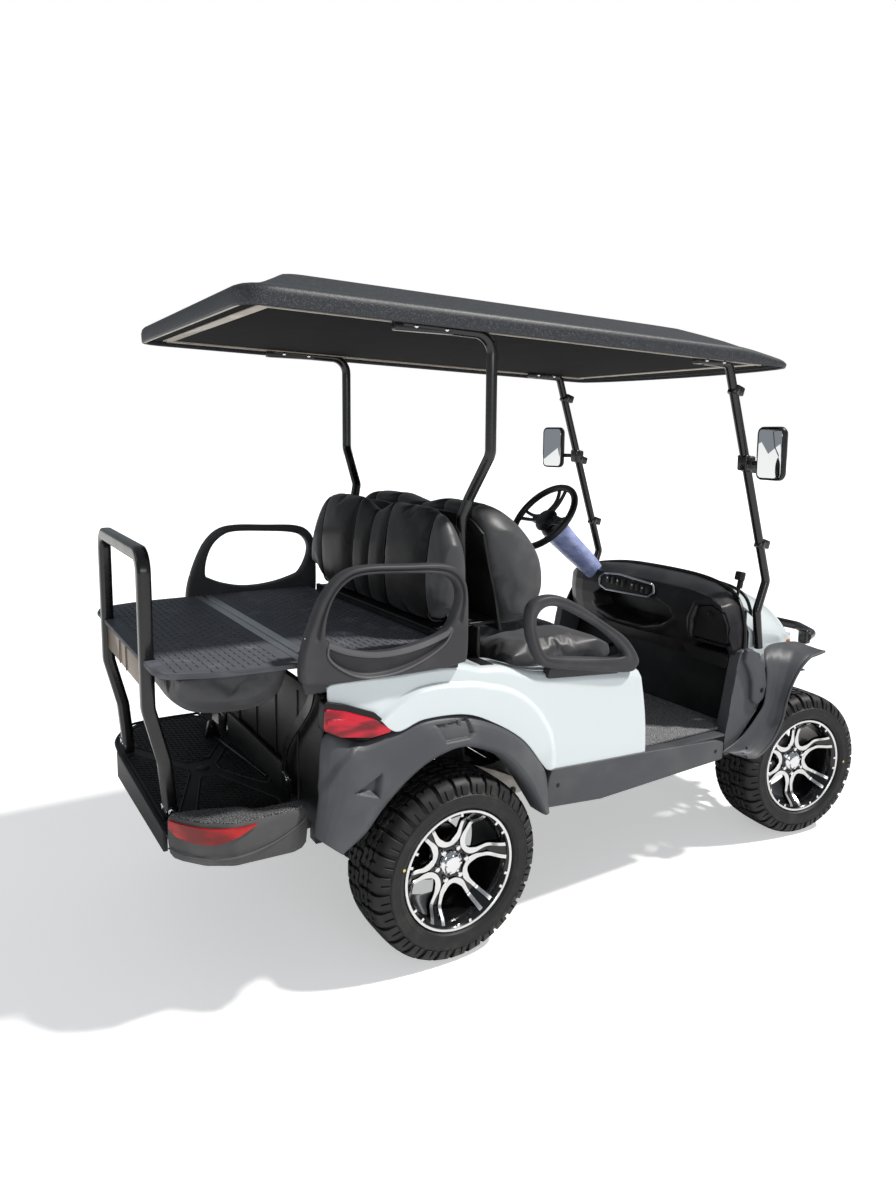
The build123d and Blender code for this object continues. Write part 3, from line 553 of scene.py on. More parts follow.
def tube(points, bend, radius, sides=16, steps=7, squash=1.0, square=2.0, up=(0, 1, 0)):
    """A tube along straight runs joined by bends.

    squash narrows its section across the up direction and square above 2 makes the section boxier.
    """
    points = [Vector(p) for p in points]
    bends = bend if isinstance(bend, (list, tuple)) else [bend] * (len(points) - 2)
    bm = bmesh.new()
    way = (points[1] - points[0]).normalized()
    across = way.cross(Vector(up)).normalized()
    basis = Matrix((across, way.cross(across).normalized(), way)).transposed().to_4x4()
    ring = bmesh.ops.create_circle(bm, cap_ends=False, radius=1.0, segments=sides)["verts"]
    for vert in ring:
        reach = (abs(vert.co.x) ** square + abs(vert.co.y) ** square) ** (-1 / square)
        vert.co = Vector((vert.co.x * reach * radius * squash, vert.co.y * reach * radius, 0))
    bmesh.ops.transform(bm, matrix=Matrix.Translation(points[0]) @ basis, verts=ring)
    edges = list(bm.edges)
    first = list(edges)
    here = points[0]

    def pull(edges, vector):
        out = bmesh.ops.extrude_edge_only(bm, edges=edges)["geom"]
        bmesh.ops.translate(bm, verts=[g for g in out if isinstance(g, bmesh.types.BMVert)], vec=vector)
        return [g for g in out if isinstance(g, bmesh.types.BMEdge)]

    for corner, after, size in zip(points[1:], points[2:], bends):
        way_in = (corner - points[points.index(corner) - 1]).normalized()
        way_out = (after - corner).normalized()
        turn = way_in.angle(way_out)
        if turn < 1e-3:
            continue
        reach = size * math.tan(turn / 2)
        start = corner - way_in * reach
        if (start - here).length > 0.01:
            edges = pull(edges, start - here)
        axis = way_in.cross(way_out).normalized()
        centre = start + axis.cross(way_in) * size
        out = bmesh.ops.spin(bm, geom=edges, cent=centre, axis=axis, angle=turn, steps=steps,
                             use_duplicate=False)["geom_last"]
        edges = [g for g in out if isinstance(g, bmesh.types.BMEdge)]
        here = corner + way_out * reach
    edges = pull(edges, points[-1] - here)
    bmesh.ops.holes_fill(bm, edges=first)
    bmesh.ops.holes_fill(bm, edges=edges)
    bmesh.ops.recalc_face_normals(bm, faces=bm.faces)
    return bm


def bolt(centre, way, radius=7, height=5, washer=0.0, sides=6):
    """A bolt head, with a washer under it if asked."""
    centre, way = Vector(centre), Vector(way).normalized()
    parts = [rod(centre, centre + way * height, radius, sides, edge=0.8)]
    if washer:
        parts.append(rod(centre - way, centre + way * 1.2, washer, 20))
    return joined(parts)


def joined(parts):
    """One mesh from several; a part may be (mesh, material index)."""
    whole = bmesh.new()
    for part in parts:
        bm, index = part if isinstance(part, tuple) else (part, None)
        if index is not None:
            for face in bm.faces:
                face.material_index = index
        temporary = bpy.data.meshes.new("part")
        bm.to_mesh(temporary)
        bm.free()
        whole.from_mesh(temporary)
        bpy.data.meshes.remove(temporary)
    return whole


def moved(bm, matrix):
    """The same mesh under a rotation and a shift."""
    bmesh.ops.transform(bm, matrix=matrix, verts=bm.verts)
    return bm


def flipped(bm):
    """The mesh mirrored to the cart's other side."""
    bmesh.ops.scale(bm, vec=(1, -1, 1), verts=bm.verts)
    bmesh.ops.reverse_faces(bm, faces=bm.faces)
    return bm


def both_sides(make):
    """make() on the left and its mirror image on the right, as one mesh."""
    return joined([make(), flipped(make())])


def piece(name, bm, finishes, body="chassis", replaces=(), angle=35, thickness=0.0,
          offset=-1.0):
    """A finished object: it rides on a body and may stand for CAD nodes."""
    bmesh.ops.scale(bm, vec=(MM, MM, MM), verts=bm.verts)
    mesh = bpy.data.meshes.new(name)
    bm.to_mesh(mesh)
    bm.free()
    for key in finishes.split():
        mesh.materials.append(FINISHES[key])
    mesh.shade_smooth()
    mesh.set_sharp_from_angle(angle=math.radians(angle))
    made = bpy.data.objects.new(name, mesh)
    bpy.context.scene.collection.objects.link(made)
    if thickness:
        wall = made.modifiers.new("wall", "SOLIDIFY")
        wall.thickness = thickness * MM
        wall.offset = offset
        wall.use_even_offset = False
    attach(made, body)
    if replaces:
        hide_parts(*replaces)
    return made


def paint_node(node, finish):
    """Give a CAD node that stays visible its finish."""
    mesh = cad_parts[node].data
    mesh.materials.clear()
    mesh.materials.append(FINISHES[finish])


def strip(points, section, up, rings=40, width=None):
    """A closed (across, height) section swept along a smooth line; width(share) scales it across."""
    count = len(section)

    def place(u, v):
        way = follow(points, min(u + 0.004, 1)) - follow(points, max(u - 0.004, 0))
        across = way.cross(Vector(up)).normalized()
        rise = across.cross(way).normalized()
        a, h = section[round(v * count) % count]
        return follow(points, u) + across * a * (width(u) if width else 1.0) + rise * h

    return closed(surface(rings, count, place, merge=0.005))


def closed(bm):
    """Fill the open ends and turn the faces outward."""
    bmesh.ops.holes_fill(bm, edges=[e for e in bm.edges if e.is_boundary])
    bmesh.ops.recalc_face_normals(bm, faces=bm.faces)
    return bm


def box_section(half, low, high, edge):
    """A rectangular section for strip(), with its upper corners cut by edge."""
    return [(-half, low), (-half, high - edge), (-half + edge, high), (half - edge, high),
            (half, high - edge), (half, low)]


def round_section(radius, sides=10):
    """A round section for strip()."""
    turns = [math.tau * k / sides for k in range(sides)]
    return [(radius * math.cos(t), radius * math.sin(t)) for t in turns]


def loft(loops, caps=True):
    """A skin through loops of points that all have the same count."""
    count, last = len(loops[0]), len(loops) - 1
    bm = surface(count, last, lambda u, v: Vector(loops[round(v * last)][round(u * count) % count]),
                 merge=0.005)
    if caps:
        closed(bm)
    return bm


def scatter(single, matrices):
    """Copies of one small mesh under many placements."""
    temporary = bpy.data.meshes.new("part")
    single.to_mesh(temporary)
    single.free()
    whole = bmesh.new()
    for matrix in matrices:
        temporary.transform(matrix)
        whole.from_mesh(temporary)
        temporary.transform(matrix.inverted())
    bpy.data.meshes.remove(temporary)
    return whole


def edge_hit(centre, way, outline):
    """Where a ray from the centre leaves a flat outline."""
    far = 0.0
    for a, b in zip(outline, outline[1:] + outline[:1]):
        run, gap = b - a, a - centre
        cross = way.x * run.y - way.y * run.x
        if abs(cross) < 1e-9:
            continue
        reach = (gap.x * run.y - gap.y * run.x) / cross
        share = (gap.x * way.y - gap.y * way.x) / cross
        if reach > far and -1e-6 <= share <= 1 + 1e-6:
            far = reach
    return centre + way * far


def soft_rect(turn, half_a, half_b, radius, wide=0.4):
    """A point on a rounded rectangle; its two long sides each take the wide share of the turn."""
    narrow = 0.5 - wide
    if turn < wide:
        a, b = lerp(-1, 1, turn / wide), 1
    elif turn < 0.5:
        a, b = 1, lerp(1, -1, (turn - wide) / narrow)
    elif turn < 0.5 + wide:
        a, b = lerp(1, -1, (turn - 0.5) / wide), -1
    else:
        a, b = -1, lerp(-1, 1, (turn - 0.5 - wide) / narrow)
    radius = min(radius, half_a, half_b)
    point = Vector((a * half_a, b * half_b))
    core = Vector((max(-half_a + radius, min(half_a - radius, point.x)),
                   max(-half_b + radius, min(half_b - radius, point.y))))
    away = point - core
    return core + away.normalized() * radius if away.length > 1e-6 else point


def hoop(outer, inner, low, high, radius, rings=150, around=28, dent=None):
    """A moulded loop between two (x, z) outlines, from y low to high, with rounded edges.

    dent(x, z, y, share) may move y; share runs from -1 at the opening to 1 at the outside.
    """
    centre = sum(inner, Vector((0, 0))) / len(inner)
    outer, inner = ringed(outer, 200), ringed(inner, rings)
    ways = [(p - centre).normalized() for p in inner]
    ends = [(edge_hit(centre, way, outer), back) for way, back in zip(ways, inner)]

    def place(u, v):
        index = round(u * rings) % rings
        out, back = ends[index]
        half = (out - back).length / 2
        shift = soft_rect(v, half, (high - low) / 2, radius)
        flat = (out + back) / 2 + ways[index] * shift.x
        y = (low + high) / 2 + shift.y
        if dent:
            y = dent(flat.x, flat.y, y, shift.x / half)
        return Vector((flat.x, y, flat.y))

    return closed(surface(rings, around, place, merge=0.005))


def read(table, value):
    """A value read off a table of (key, value) rows, in straight lines between the rows."""
    if value <= table[0][0]:
        return table[0][1]
    for (low, first), (high, second) in zip(table, table[1:]):
        if value <= high:
            return lerp(first, second, (value - low) / (high - low))
    return table[-1][1]


def follow_table(table, value):
    """As read(), but rounded where the slope changes."""
    return sum(read(table, value + shift) for shift in (-24, -12, 0, 12, 24)) / 5


def to_outline(point, outline):
    """Distance from a point to a flat closed outline, negative inside it."""
    nearest, inside = 1e9, False
    x, y = point
    for a, b in zip(outline, outline[1:] + outline[:1]):
        run = Vector((b[0] - a[0], b[1] - a[1]))
        gap = Vector((x - a[0], y - a[1]))
        share = min(max(gap.dot(run) / run.length_squared, 0), 1)
        nearest = min(nearest, (gap - run * share).length)
        if (a[1] > y) != (b[1] > y) and x < (b[0] - a[0]) * (y - a[1]) / (b[1] - a[1]) + a[0]:
            inside = not inside
    return -nearest if inside else nearest


# ---------------------------------------------------------------------------------------
# wheels
# ---------------------------------------------------------------------------------------

WHEEL_Z = 292
TYRE_SIZE = 292
FRONT_AXLE = 1084
REAR_AXLE = -580
# half of the tread from its middle over the shoulder: (radius, across)
TREAD_LINE = [(292, 0), (291.6, 42), (288.5, 80), (281, 97), (268, 108), (251, 114), (236, 117.3)]
SIDEWALL = [(283, 0), (282.6, 44), (279, 82), (272, 95), (261, 103), (248, 109), (243, 113.5), (240, 116.6),
            (237, 117.4), (234, 116.2), (226, 116.8), (213, 115.8), (211, 116.8), (208, 115.4), (199, 111.5),
            (194.5, 105), (192, 97), (180, 94.5)]
LINING = [(180, 78), (238, 99), (268, 88), (276, 45)]
TREAD_ROWS = [
    # tread blocks as (along, across) outlines within one pitch; the other half is turned about
    [(-27, 66), (-23, 60), (-6, 63), (-3, 78), (0, 80), (3, 62), (17, 58), (21, 70), (22, 100), (21, 142),
     (6, 142), (4, 112), (1, 112), (-1, 142), (-24, 140), (-25, 104)],
    [(-26, 34), (-10, 31), (-4, 38), (8, 36), (20, 30), (27, 36), (25, 50), (12, 54), (4, 50), (-8, 56),
     (-24, 52)],
    [(-21, 5), (-6, 2), (0, 9), (14, 6), (28, 3), (31, 12), (27, 24), (12, 28), (4, 22), (-8, 27), (-20, 25)],
]
WINDOW_RIDGE = [(171, 72.5), (150, 63.5), (127, 54.5), (104, 45), (84, 36), (68, 20), (62, 0)]
KINK_R = 134
LIP_R = 178


def tread_table():
    """(radius, across, outward radius, outward across) for each millimetre across the tread."""
    rows = []
    span = sum((Vector(b) - Vector(a)).length for a, b in zip(TREAD_LINE, TREAD_LINE[1:]))
    for step in range(int(span) + 1):
        share = step / span
        here = follow(TREAD_LINE, share)
        before, after = follow(TREAD_LINE, max(share - 0.01, 0)), follow(TREAD_LINE, min(share + 0.01, 1))
        way = (after - before).normalized()
        rows.append((here.x, here.y, way.y, -way.x))
    return rows


def tyre_mesh(lugs):
    """One tyre about the origin, its outer side at +Y."""
    rows = tread_table()
    pitch = math.tau * TYRE_SIZE / lugs
    blocks = []
    for index, outline in enumerate(TREAD_ROWS):
        for side in (1, -1):
            shift = 0 if side > 0 else pitch / 2
            turned_outline = [(side * x + shift, side * s) for x, s in outline]
            block_bm = slab(turned_outline, -11, 0, "xy")
            ease(block_bm, 1.5, 1, 60)
            if index == 0:
                for cut in (84, 92, 100, 108, 116, 126):
                    everything = list(block_bm.verts) + list(block_bm.edges) + list(block_bm.faces)
                    bmesh.ops.bisect_plane(block_bm, geom=everything, dist=0.001, plane_co=(0, side * cut, 0),
                                           plane_no=(0, 1, 0))
            blocks.append(block_bm)
    tread = scatter(joined(blocks), [Matrix.Translation((k * pitch, 0, 0)) for k in range(lugs)])
    for vert in tread.verts:
        x, s, height = vert.co
        step = min(abs(s), len(rows) - 1.001)
        low, high = rows[int(step)], rows[int(step) + 1]
        radius, across, out_r, out_a = [lerp(a, b, step - int(step)) for a, b in zip(low, high)]
        side = 1 if s > 0 else -1
        reach = radius + height * out_r
        turn = x / TYRE_SIZE
        vert.co = (reach * math.sin(turn), side * (across + height * out_a), reach * math.cos(turn))
    half = SIDEWALL + LINING
    ring = half + [(r, -y) for r, y in reversed(half)]
    carcass = turned(ring + ring[:1], 128)
    return joined([tread, carcass])


def dish(radius):
    """How far the spoke faces stand outboard at a radius."""
    if radius < KINK_R:
        return read([(0, 45), (60, 46), (KINK_R, 48)], radius)
    return read([(KINK_R, 48), (LIP_R, 104)], radius)


def spun(x, z, degrees):
    turn = math.radians(degrees)
    return x * math.cos(turn) - z * math.sin(turn), x * math.sin(turn) + z * math.cos(turn)


def wheel_mesh(first_spoke, spokes):
    """One wheel about the origin: 0 black barrel and pockets, 1 machined faces, 2 chrome."""
    barrel = turned([(189.5, 104.5), (181, 104.5), (177, 100), (174, 92), (169, 84), (166, 40), (160, 10),
                     (158, -70), (164, -92), (189, -104), (190, -96), (178.5, -90), (178.5, 90), (189.5, 98),
                     (189.5, 104.5)], 96)
    lip = turned([(190, 98), (190.2, 105), (188.8, 106.2), (182.5, 106.2), (181, 105), (181, 101), (190, 98)],
                 96)
    drum = turned([(0, -42), (92, -42), (96, -48), (96, -96), (0, -96)], 48)
    hub = turned([(0, 44), (40, 43), (52, 41), (56, 34), (56, 6), (0, 6)], 48)
    cap = turned([(0, 66), (20, 65.4), (27, 63), (31, 57), (33, 56), (38, 52), (41, 45), (41, 40)], 48)
    parts = [(barrel, 0), (lip, 1), (drum, 0), (hub, 0), (cap, 2)]
    step = 360 / spokes
    for index in range(spokes):
        angle = first_spoke + index * step

        def in_plane(x, z, lower, turn=angle):
            a, b = spun(x, z, turn)
            return Vector((a, dish(math.hypot(x, z)) - lower, b))

        # black pocket between the two ribs of a spoke
        wide = [(46, 14), (62, 19), (90, 13), (KINK_R, 15), (178, 21)]

        def pocket(u, v):
            radius = read([(0, 46), (0.6, KINK_R), (1, 180)], u)
            turn = v * 2 if v <= 0.5 else 2 - v * 2
            return in_plane(radius, lerp(-1, 1, turn) * read(wide, radius), 5 if v <= 0.5 else 17)

        parts.append((closed(surface(20, 8, pocket, merge=0.005)), 0))
        # machined rim of the window beyond that spoke
        window = angle + step / 2
        path = WINDOW_RIDGE + [(x, -z) for x, z in reversed(WINDOW_RIDGE[:-1])]
        widths = [(0, 1.1), (0.12, 0.95), (0.3, 1.0), (0.4, 1.7), (0.5, 1.3), (0.6, 1.7), (0.7, 1.0),
                  (1, 1.1)]
        ridge = [in_plane(x, z, 0, window) for x, z in path]
        parts.append((strip(ridge, box_section(6.4, -14, -1.2, 0.2), (0, 1, 0), 48,
                            lambda u: read(widths, u)), 0))
        parts.append((strip(ridge, box_section(6.1, -1.3, 0, 0.6), (0, 1, 0), 48, lambda u: read(widths, u)),
                      1))
        # small machined tabs on the lip, and a lug nut at the spoke's foot
        for turn in (-7, 7):
            a, b = spun(177, 0, window + turn)
            tab = block((12, 3, 9), (a, 103.5, b), 1.0, Matrix.Rotation(-math.radians(window + turn), 3, "Y"))
            parts.append((tab, 1))
        a, b = spun(52, 0, angle)
        parts.append((rod((a, 38, b), (a, 58, b), 9, 6, edge=2), 2))
        a, b = spun(25, 0, angle)
        parts.append((rod((a, 56, b), (a, 67, b), 4.5, 6, edge=1), 2))
    return joined(parts)


def corner_matrix(end, side):
    """Where the wheel of one corner sits; its own +Y is the outboard side."""
    facing = Matrix.Rotation(0 if side > 0 else math.pi, 4, "Z")
    if end == "rear":
        return Matrix.Translation((REAR_AXLE, side * 518, WHEEL_Z)) @ facing
    kingpin = Matrix.Translation((FRONT_AXLE, side * 415, WHEEL_Z))
    steered = kingpin @ Matrix.Rotation(math.radians(-8), 4, "Z")
    return steered @ Matrix.Translation((0, side * 103, 0)) @ facing


def build_wheels(sizes):
    """Four tyres and wheels."""
    first_spoke = {("rear", "right"): 174.6, ("front", "right"): 155, ("rear", "left"): 20,
                   ("front", "left"): 47}
    dots = {("rear", "right"): (208, 17), ("front", "right"): (214, 183), ("rear", "left"): (208, 60),
            ("front", "left"): (208, 200)}
    tyre = bpy.data.meshes.new("tyre")
    tyre_mesh(sizes.tread_lugs).to_mesh(tyre)
    for end in ("rear", "front"):
        for name, side in SIDES.items():
            corner = end + "_" + name
            place = corner_matrix(end, side)
            radius, angle = dots[end, name]
            a, b = spun(radius, 0, angle)
            copy = bmesh.new()
            copy.from_mesh(tyre)
            dot = rod((a, 115.5, b), (a, 117.6, b), 4.5, 16)
            piece("tyre_" + corner + "_tread", moved(joined([(copy, 0), (dot, 1)]), place), "rubber yellow",
                  "wheel_" + corner, ["tyre_" + corner], angle=30)
            wheel = wheel_mesh(first_spoke[end, name], sizes.spokes)
            piece("wheel_" + corner + "_face", moved(wheel, place), "rim machined chrome",
                  "wheel_" + corner, ["wheel_rim_" + corner], angle=30)


# ---------------------------------------------------------------------------------------
# lower body
# ---------------------------------------------------------------------------------------

# pairs along the rear arch from the sill round to the tail: (outer x, outer z, lip x, lip z)
REAR_ARCH = [(-236, 398, -270, 404), (-238, 500, -330, 500), (-262, 560, -368, 556), (-336, 656, -425, 618),
             (-440, 728, -500, 660), (-560, 772, -585, 682), (-690, 786, -680, 660), (-790, 762, -752, 620),
             (-900, 746, -815, 566), (-994, 782, -850, 527), (-1014, 640, -895, 482), (-1034, 505, -962, 446)]
CREASE_CENTRE = Vector((-560, 500))
CREASE = [(-5, 345), (8, 350), (25, 362), (42, 364), (58, 362), (75, 355), (92, 364), (103, 381), (112, 397),
          (123, 404), (135, 412)]
BODY_TOP = [(-994, 918), (-960, 928), (-780, 928), (-620, 926), (-540, 914), (-490, 899), (-404, 890),
            (-330, 866), (-250, 846), (-60, 826), (169, 800)]
BODY_LOW = [(-994, 876), (-945, 858), (-858, 820), (-792, 766), (-700, 787), (-560, 778), (-450, 730),
            (-345, 658), (-262, 560), (-212, 526), (-60, 516), (201, 506)]
VENT = [(-667, 764), (-552, 764), (-540, 722), (-560, 708), (-640, 708), (-655, 740)]
TRIANGLE = [(-934, 618), (-846, 660), (-858, 590)]
# the quieter panel between the tail lamp and the flare
QUARTER = [(-796, 770), (-866, 757), (-924, 735), (-970, 695), (-1004, 642), (-1034, 590), (-1100, 560),
           (-1100, 830), (-1000, 830), (-940, 800), (-860, 775)]


def bulge(point):
    """Raised share of the flare inside the body's crease, from 0 outside to 1 inside."""
    from_centre = Vector(point) - CREASE_CENTRE
    angle = math.degrees(math.atan2(from_centre.y, from_centre.x))
    return smooth(13, -5, from_centre.length - read(CREASE, angle)) * smooth(-2, 22, angle)


def body_side():
    """The white side from the tail to the door sill, its rolled top edge and the ledge inside it."""
    def place(u, v):
        side = min(v / 0.84, 1.0)
        low, top = follow(BODY_LOW, u), follow(BODY_TOP, u)
        flat = low.lerp(top, side)
        flat.x += 9 * math.sin(math.pi * side) * smooth(0.8, 1, u)
        roll = smooth(0.78, 0.84, v)
        y = 589 + 19 * bulge(flat) - 3 * smooth(0.1, 0.9, side) - 10 * roll
        z = flat.y
        if v > 0.84:
            share = (v - 0.84) / 0.16
            y, z = lerp(576, 460, share), z + 5 * math.sin(min(share * 6, 1) * math.pi / 2)
        return Vector((flat.x, y, z))

    return surface(150, 70, place)


def rear_arch():
    """The grained flare over a rear wheel, its vent, and the quarter panel behind the wheel."""
    section = [(0, 586), (0.04, 597), (0.12, 607.5), (0.25, 617.5), (0.4, 625), (0.55, 630), (0.7, 633.5),
               (0.8, 635), (0.88, 630), (0.96, 618), (1.0, 602), (1.0, 560)]
    shares = [0, 0.04, 0.10, 0.2, 0.3, 0.42, 0.54, 0.68, 0.76, 0.84, 0.9, 1.0]

    def place(u, v):
        both = follow(REAR_ARCH, u)
        across = read([(s, a) for s, (a, _) in zip(shares, section)], v)
        y = read([(s, y) for s, (_, y) in zip(shares, section)], v)
        x, z = lerp(both[0], both[2], across), lerp(both[1], both[3], across)
        if v < 0.8:
            y -= 13 * smooth(2, -4, to_outline((x, z), VENT))
            y -= 22 * smooth(4, -12, to_outline((x, z), TRIANGLE))
            y -= 14 * smooth(3, -9, to_outline((x, z), QUARTER))
        return Vector((x, y, z))

    skin = surface(260, 60, place)
    bits = [(skin, 0)]
    for x in (-628, -582):
        bits.append((block((12, 12, 20), (x, 606, 756), 2), 0))
    bits.append((bolt((-893, 612, 634), (0, 1, 0), 6, 5, 9), 1))
    return joined(bits)


def tail_light():
    """Almond lamp: a faceted red lens below and a smoky strip above."""
    rim = [(-792, 768), (-856, 830), (-946, 868), (-1008, 886), (-1014, 806), (-962, 777), (-866, 758)]
    lens_edge = [(-800, 769), (-862, 815), (-946, 850), (-1008, 867), (-1012, 808), (-962, 780), (-868, 762)]
    base = slab(rounded(rim, 8), 566, 604, "xz", 4)
    red = slab(rounded(lens_edge, 8), 580, 611, "xz", 6)
    band = slab([(-1004, 838), (-930, 826), (-850, 786), (-930, 808), (-1004, 822)], 606, 613.5, "xz", 1)
    return joined([(base, 0), (red, 1), (band, 1)])


def build_lower_body():
    """White sides, flares, rockers, tail lamps, seat box and floor."""
    piece("body_sides", both_sides(body_side), "body", replaces=["rear_body"], angle=50,
          thickness=3)
    seat_box = [
        block((16, 1120, 268), (165, 0, 664), 4), block((612, 1130, 12), (-134, 0, 809), 3),
        block((15, 1120, 100), (-432, 0, 852), 3), block((15, 780, 330), (-432, 0, 645), 3),
        block((522, 1120, 12), (-688, 0, 899), 3), block((60, 1070, 8), (172, 0, 490), 2),
    ]
    piece("seat_box", joined(seat_box), "black")
    piece("rear_arches", both_sides(rear_arch), "trim chrome", replaces=["rear_fenders"],
          angle=50, thickness=4)
    panel = [block((16, 1128, 400), (-992, 0, 690), 5)]
    for y in (-380, -190, 0, 190, 380):
        panel.append(block((8, 6, 340), (-1001, y, 690), 2))
    piece("rear_panel", joined(panel), "black")
    piece("tail_lamps", both_sides(tail_light), "black red", replaces=["tail_lights"])

    def rocker():
        outline = [(-228, 500), (-246, 402), (-1, 380), (600, 402), (604, 468), (560, 482), (203, 507),
                   (-212, 530)]
        board = slab(rounded(outline, 10), 540, 597, "xz", 5)
        step = block((640, 50, 8), (300, 560, 489), 2)
        return joined([(board, 0), (step, 0), (bolt((-190, 596, 470), (0, 1, 0), 5, 3, 8), 1),
                       (bolt((560, 596, 440), (0, 1, 0), 5, 3, 8), 1)])

    piece("rockers", both_sides(rocker), "trim black", replaces=["rocker_panels"])
    paint_node("floor_pan", "black")
    mat = slab(rounded([(180, -530), (716, -530), (716, 530), (180, 530)], 30), 490, 500.5, "xy", 3)
    piece("floor_carpet", mat, "carpet", replaces=["floor_mat"])


# ---------------------------------------------------------------------------------------
# front body
# ---------------------------------------------------------------------------------------

COWL_TOP = [(846, 1012), (930, 1006), (1010, 992), (1100, 962), (1180, 922), (1250, 868), (1300, 806),
            (1336, 730), (1352, 640)]
COWL_HALF = [(846, 486), (950, 482), (1050, 470), (1140, 446), (1210, 408), (1262, 356), (1310, 278),
             (1340, 190), (1352, 120)]
ARCH_REACH = 404
WELL_FRONT = 86
FLARE_LINE = [
    # along the front flare from its foot to its tip: inner x, y, z, then the lip's x, z
    (612, 583, 424, 690, 404), (680, 583, 448, 758, 396), (735, 583, 476, 832, 438),
    (801, 583, 532, 886, 510), (842, 583, 587, 909, 589), (852, 580, 690, 941, 657),
    (862, 560, 745, 986, 712), (905, 520, 772, 1037, 747), (975, 494, 780, 1075, 754),
    (1060, 480, 776, 1100, 757), (1128, 472, 764, 1131, 762),
]
APRON = [(640, 400), (640, 474), (656, 560), (672, 640), (690, 730), (706, 797), (759, 806), (821, 776),
         (851, 707), (848, 624), (817, 556), (748, 485), (693, 433), (668, 404)]
APRON_BOSS = [(726, 812), (790, 790), (838, 726), (853, 652), (838, 598), (800, 573), (772, 600), (768, 677),
              (750, 719), (722, 762)]


def cowl():
    """The nose shell from the windscreen to the bumper, open over the wheels and below."""
    def place(u, v):
        x = lerp(846, 1352, 1 - (1 - v) ** 1.6)
        half, top = read(COWL_HALF, x), read(COWL_TOP, x)
        turn = abs(u - 0.5) * 2
        floor = 520 + 60 * smooth(1290, 1350, x)
        if abs(x - FRONT_AXLE) < ARCH_REACH:
            floor = max(floor, WHEEL_Z + math.sqrt(ARCH_REACH ** 2 - (x - FRONT_AXLE) ** 2))
        # the roof of the section runs out to the shoulder, then the flank drops to the floor
        share = min(turn / 0.62, 1.0)
        bend = share * math.pi / 2
        y = half * math.sin(bend) ** 0.72
        z = top - (top - max(top - 175, floor + 10)) * (1 - math.cos(bend) ** 1.3)
        if turn > 0.62:
            down = (turn - 0.62) / 0.38
            z = lerp(z, floor, down)
            y = half - 4 * math.sin(down * math.pi / 2)
        return Vector((x, y if u > 0.5 else -y, z))

    return surface(120, 90, place)


GASKET = [(452, 800), (450, 868), (436, 926), (404, 974), (330, 1002), (190, 1013), (0, 1016)]


def front_flare():
    """The flare that curls outward over a front wheel, and the apron beside the door opening."""
    rows = [(0, 0), (0.04, 0.06), (0.3, 0.10), (0.55, 0.24), (0.78, 0.52), (0.93, 0.90), (1.0, 1.0),
            (1.01, 0.9), (0.985, 0.72)]

    def place(u, v):
        inner_x, inner_y, inner_z, lip_x, lip_z = follow(FLARE_LINE, u)
        across = read([(step / 8, row[0]) for step, row in enumerate(rows)], v)
        out = read([(step / 8, row[1]) for step, row in enumerate(rows)], v)
        crown = 12 * math.sin(math.pi * min(across, 1)) * smooth(0.55, 0.75, u)
        return Vector((lerp(inner_x, lip_x, across), lerp(inner_y, 636, out),
                       lerp(inner_z, lip_z, across) + crown))

    lip = strip([(x, 635, z) for *_, x, z in FLARE_LINE], round_section(5.5, 10), (0, 1, 0), 90)
    apron = slab(rounded(APRON, 14), 522, 566, "xz", 9)
    boss = slab(rounded(APRON_BOSS, 18), 556, 584, "xz", 8)
    bolts = [(bolt((822, 583, 634), (0, 1, 0), 7, 3, 11), 1), (bolt((716, 612, 428), (0, 1, 0), 4, 2, 6), 1)]
    return joined([(surface(130, 40, place), 0), (lip, 0), (apron, 0), (boss, 0)] + bolts)


def wheel_well():
    """Inner liner over the rear half of a front wheel, between the nose and the flare."""
    def place(u, v):
        turn = lerp(math.radians(WELL_FRONT), math.radians(150), u)
        reach = 392 - 14 * smooth(0.7, 1, v)
        return Vector((FRONT_AXLE + reach * math.cos(turn), lerp(238, 566, v),
                       max(WHEEL_Z + reach * math.sin(turn), 400)))

    return surface(40, 8, place)


def headlamp():
    """A slanted lamp at the nose corner: dark bowl, two round reflectors and an amber marker."""
    def on_nose(x, drop, out):
        return Vector((x, read(COWL_HALF, x) + out, read(COWL_TOP, x) - drop))

    outline = [on_nose(1128, 172, 2), on_nose(1180, 128, 4), on_nose(1240, 122, 6), on_nose(1292, 120, 8),
               on_nose(1300, 190, 8), on_nose(1258, 225, 6), on_nose(1190, 225, 4), on_nose(1140, 205, 2)]
    middle = sum(outline, Vector()) / len(outline)
    out = Vector((0.55, 0.83, 0.05)).normalized()
    inner = [p.lerp(middle, 0.08) + out * 4 for p in outline]
    back = [p - out * 30 for p in outline]
    lens_bm = loft([back, outline, inner])
    bits = [(lens_bm, 0)]
    for share in (0.3, 0.72):
        centre = outline[1].lerp(outline[3], share).lerp(outline[6].lerp(outline[4], share), 0.5) + out * 2
        bits.append((rod(centre - out * 6, centre + out * 5, 27, 28, edge=3), 1))
        bits.append((rod(centre + out * 4, centre + out * 7, 20, 28, edge=2), 0))
    centre = outline[0].lerp(outline[7], 0.5)
    bits.append((block((30, 10, 36), centre + out * 1, 4, Matrix.Rotation(0.2, 3, "Z")), 2))
    return joined(bits)


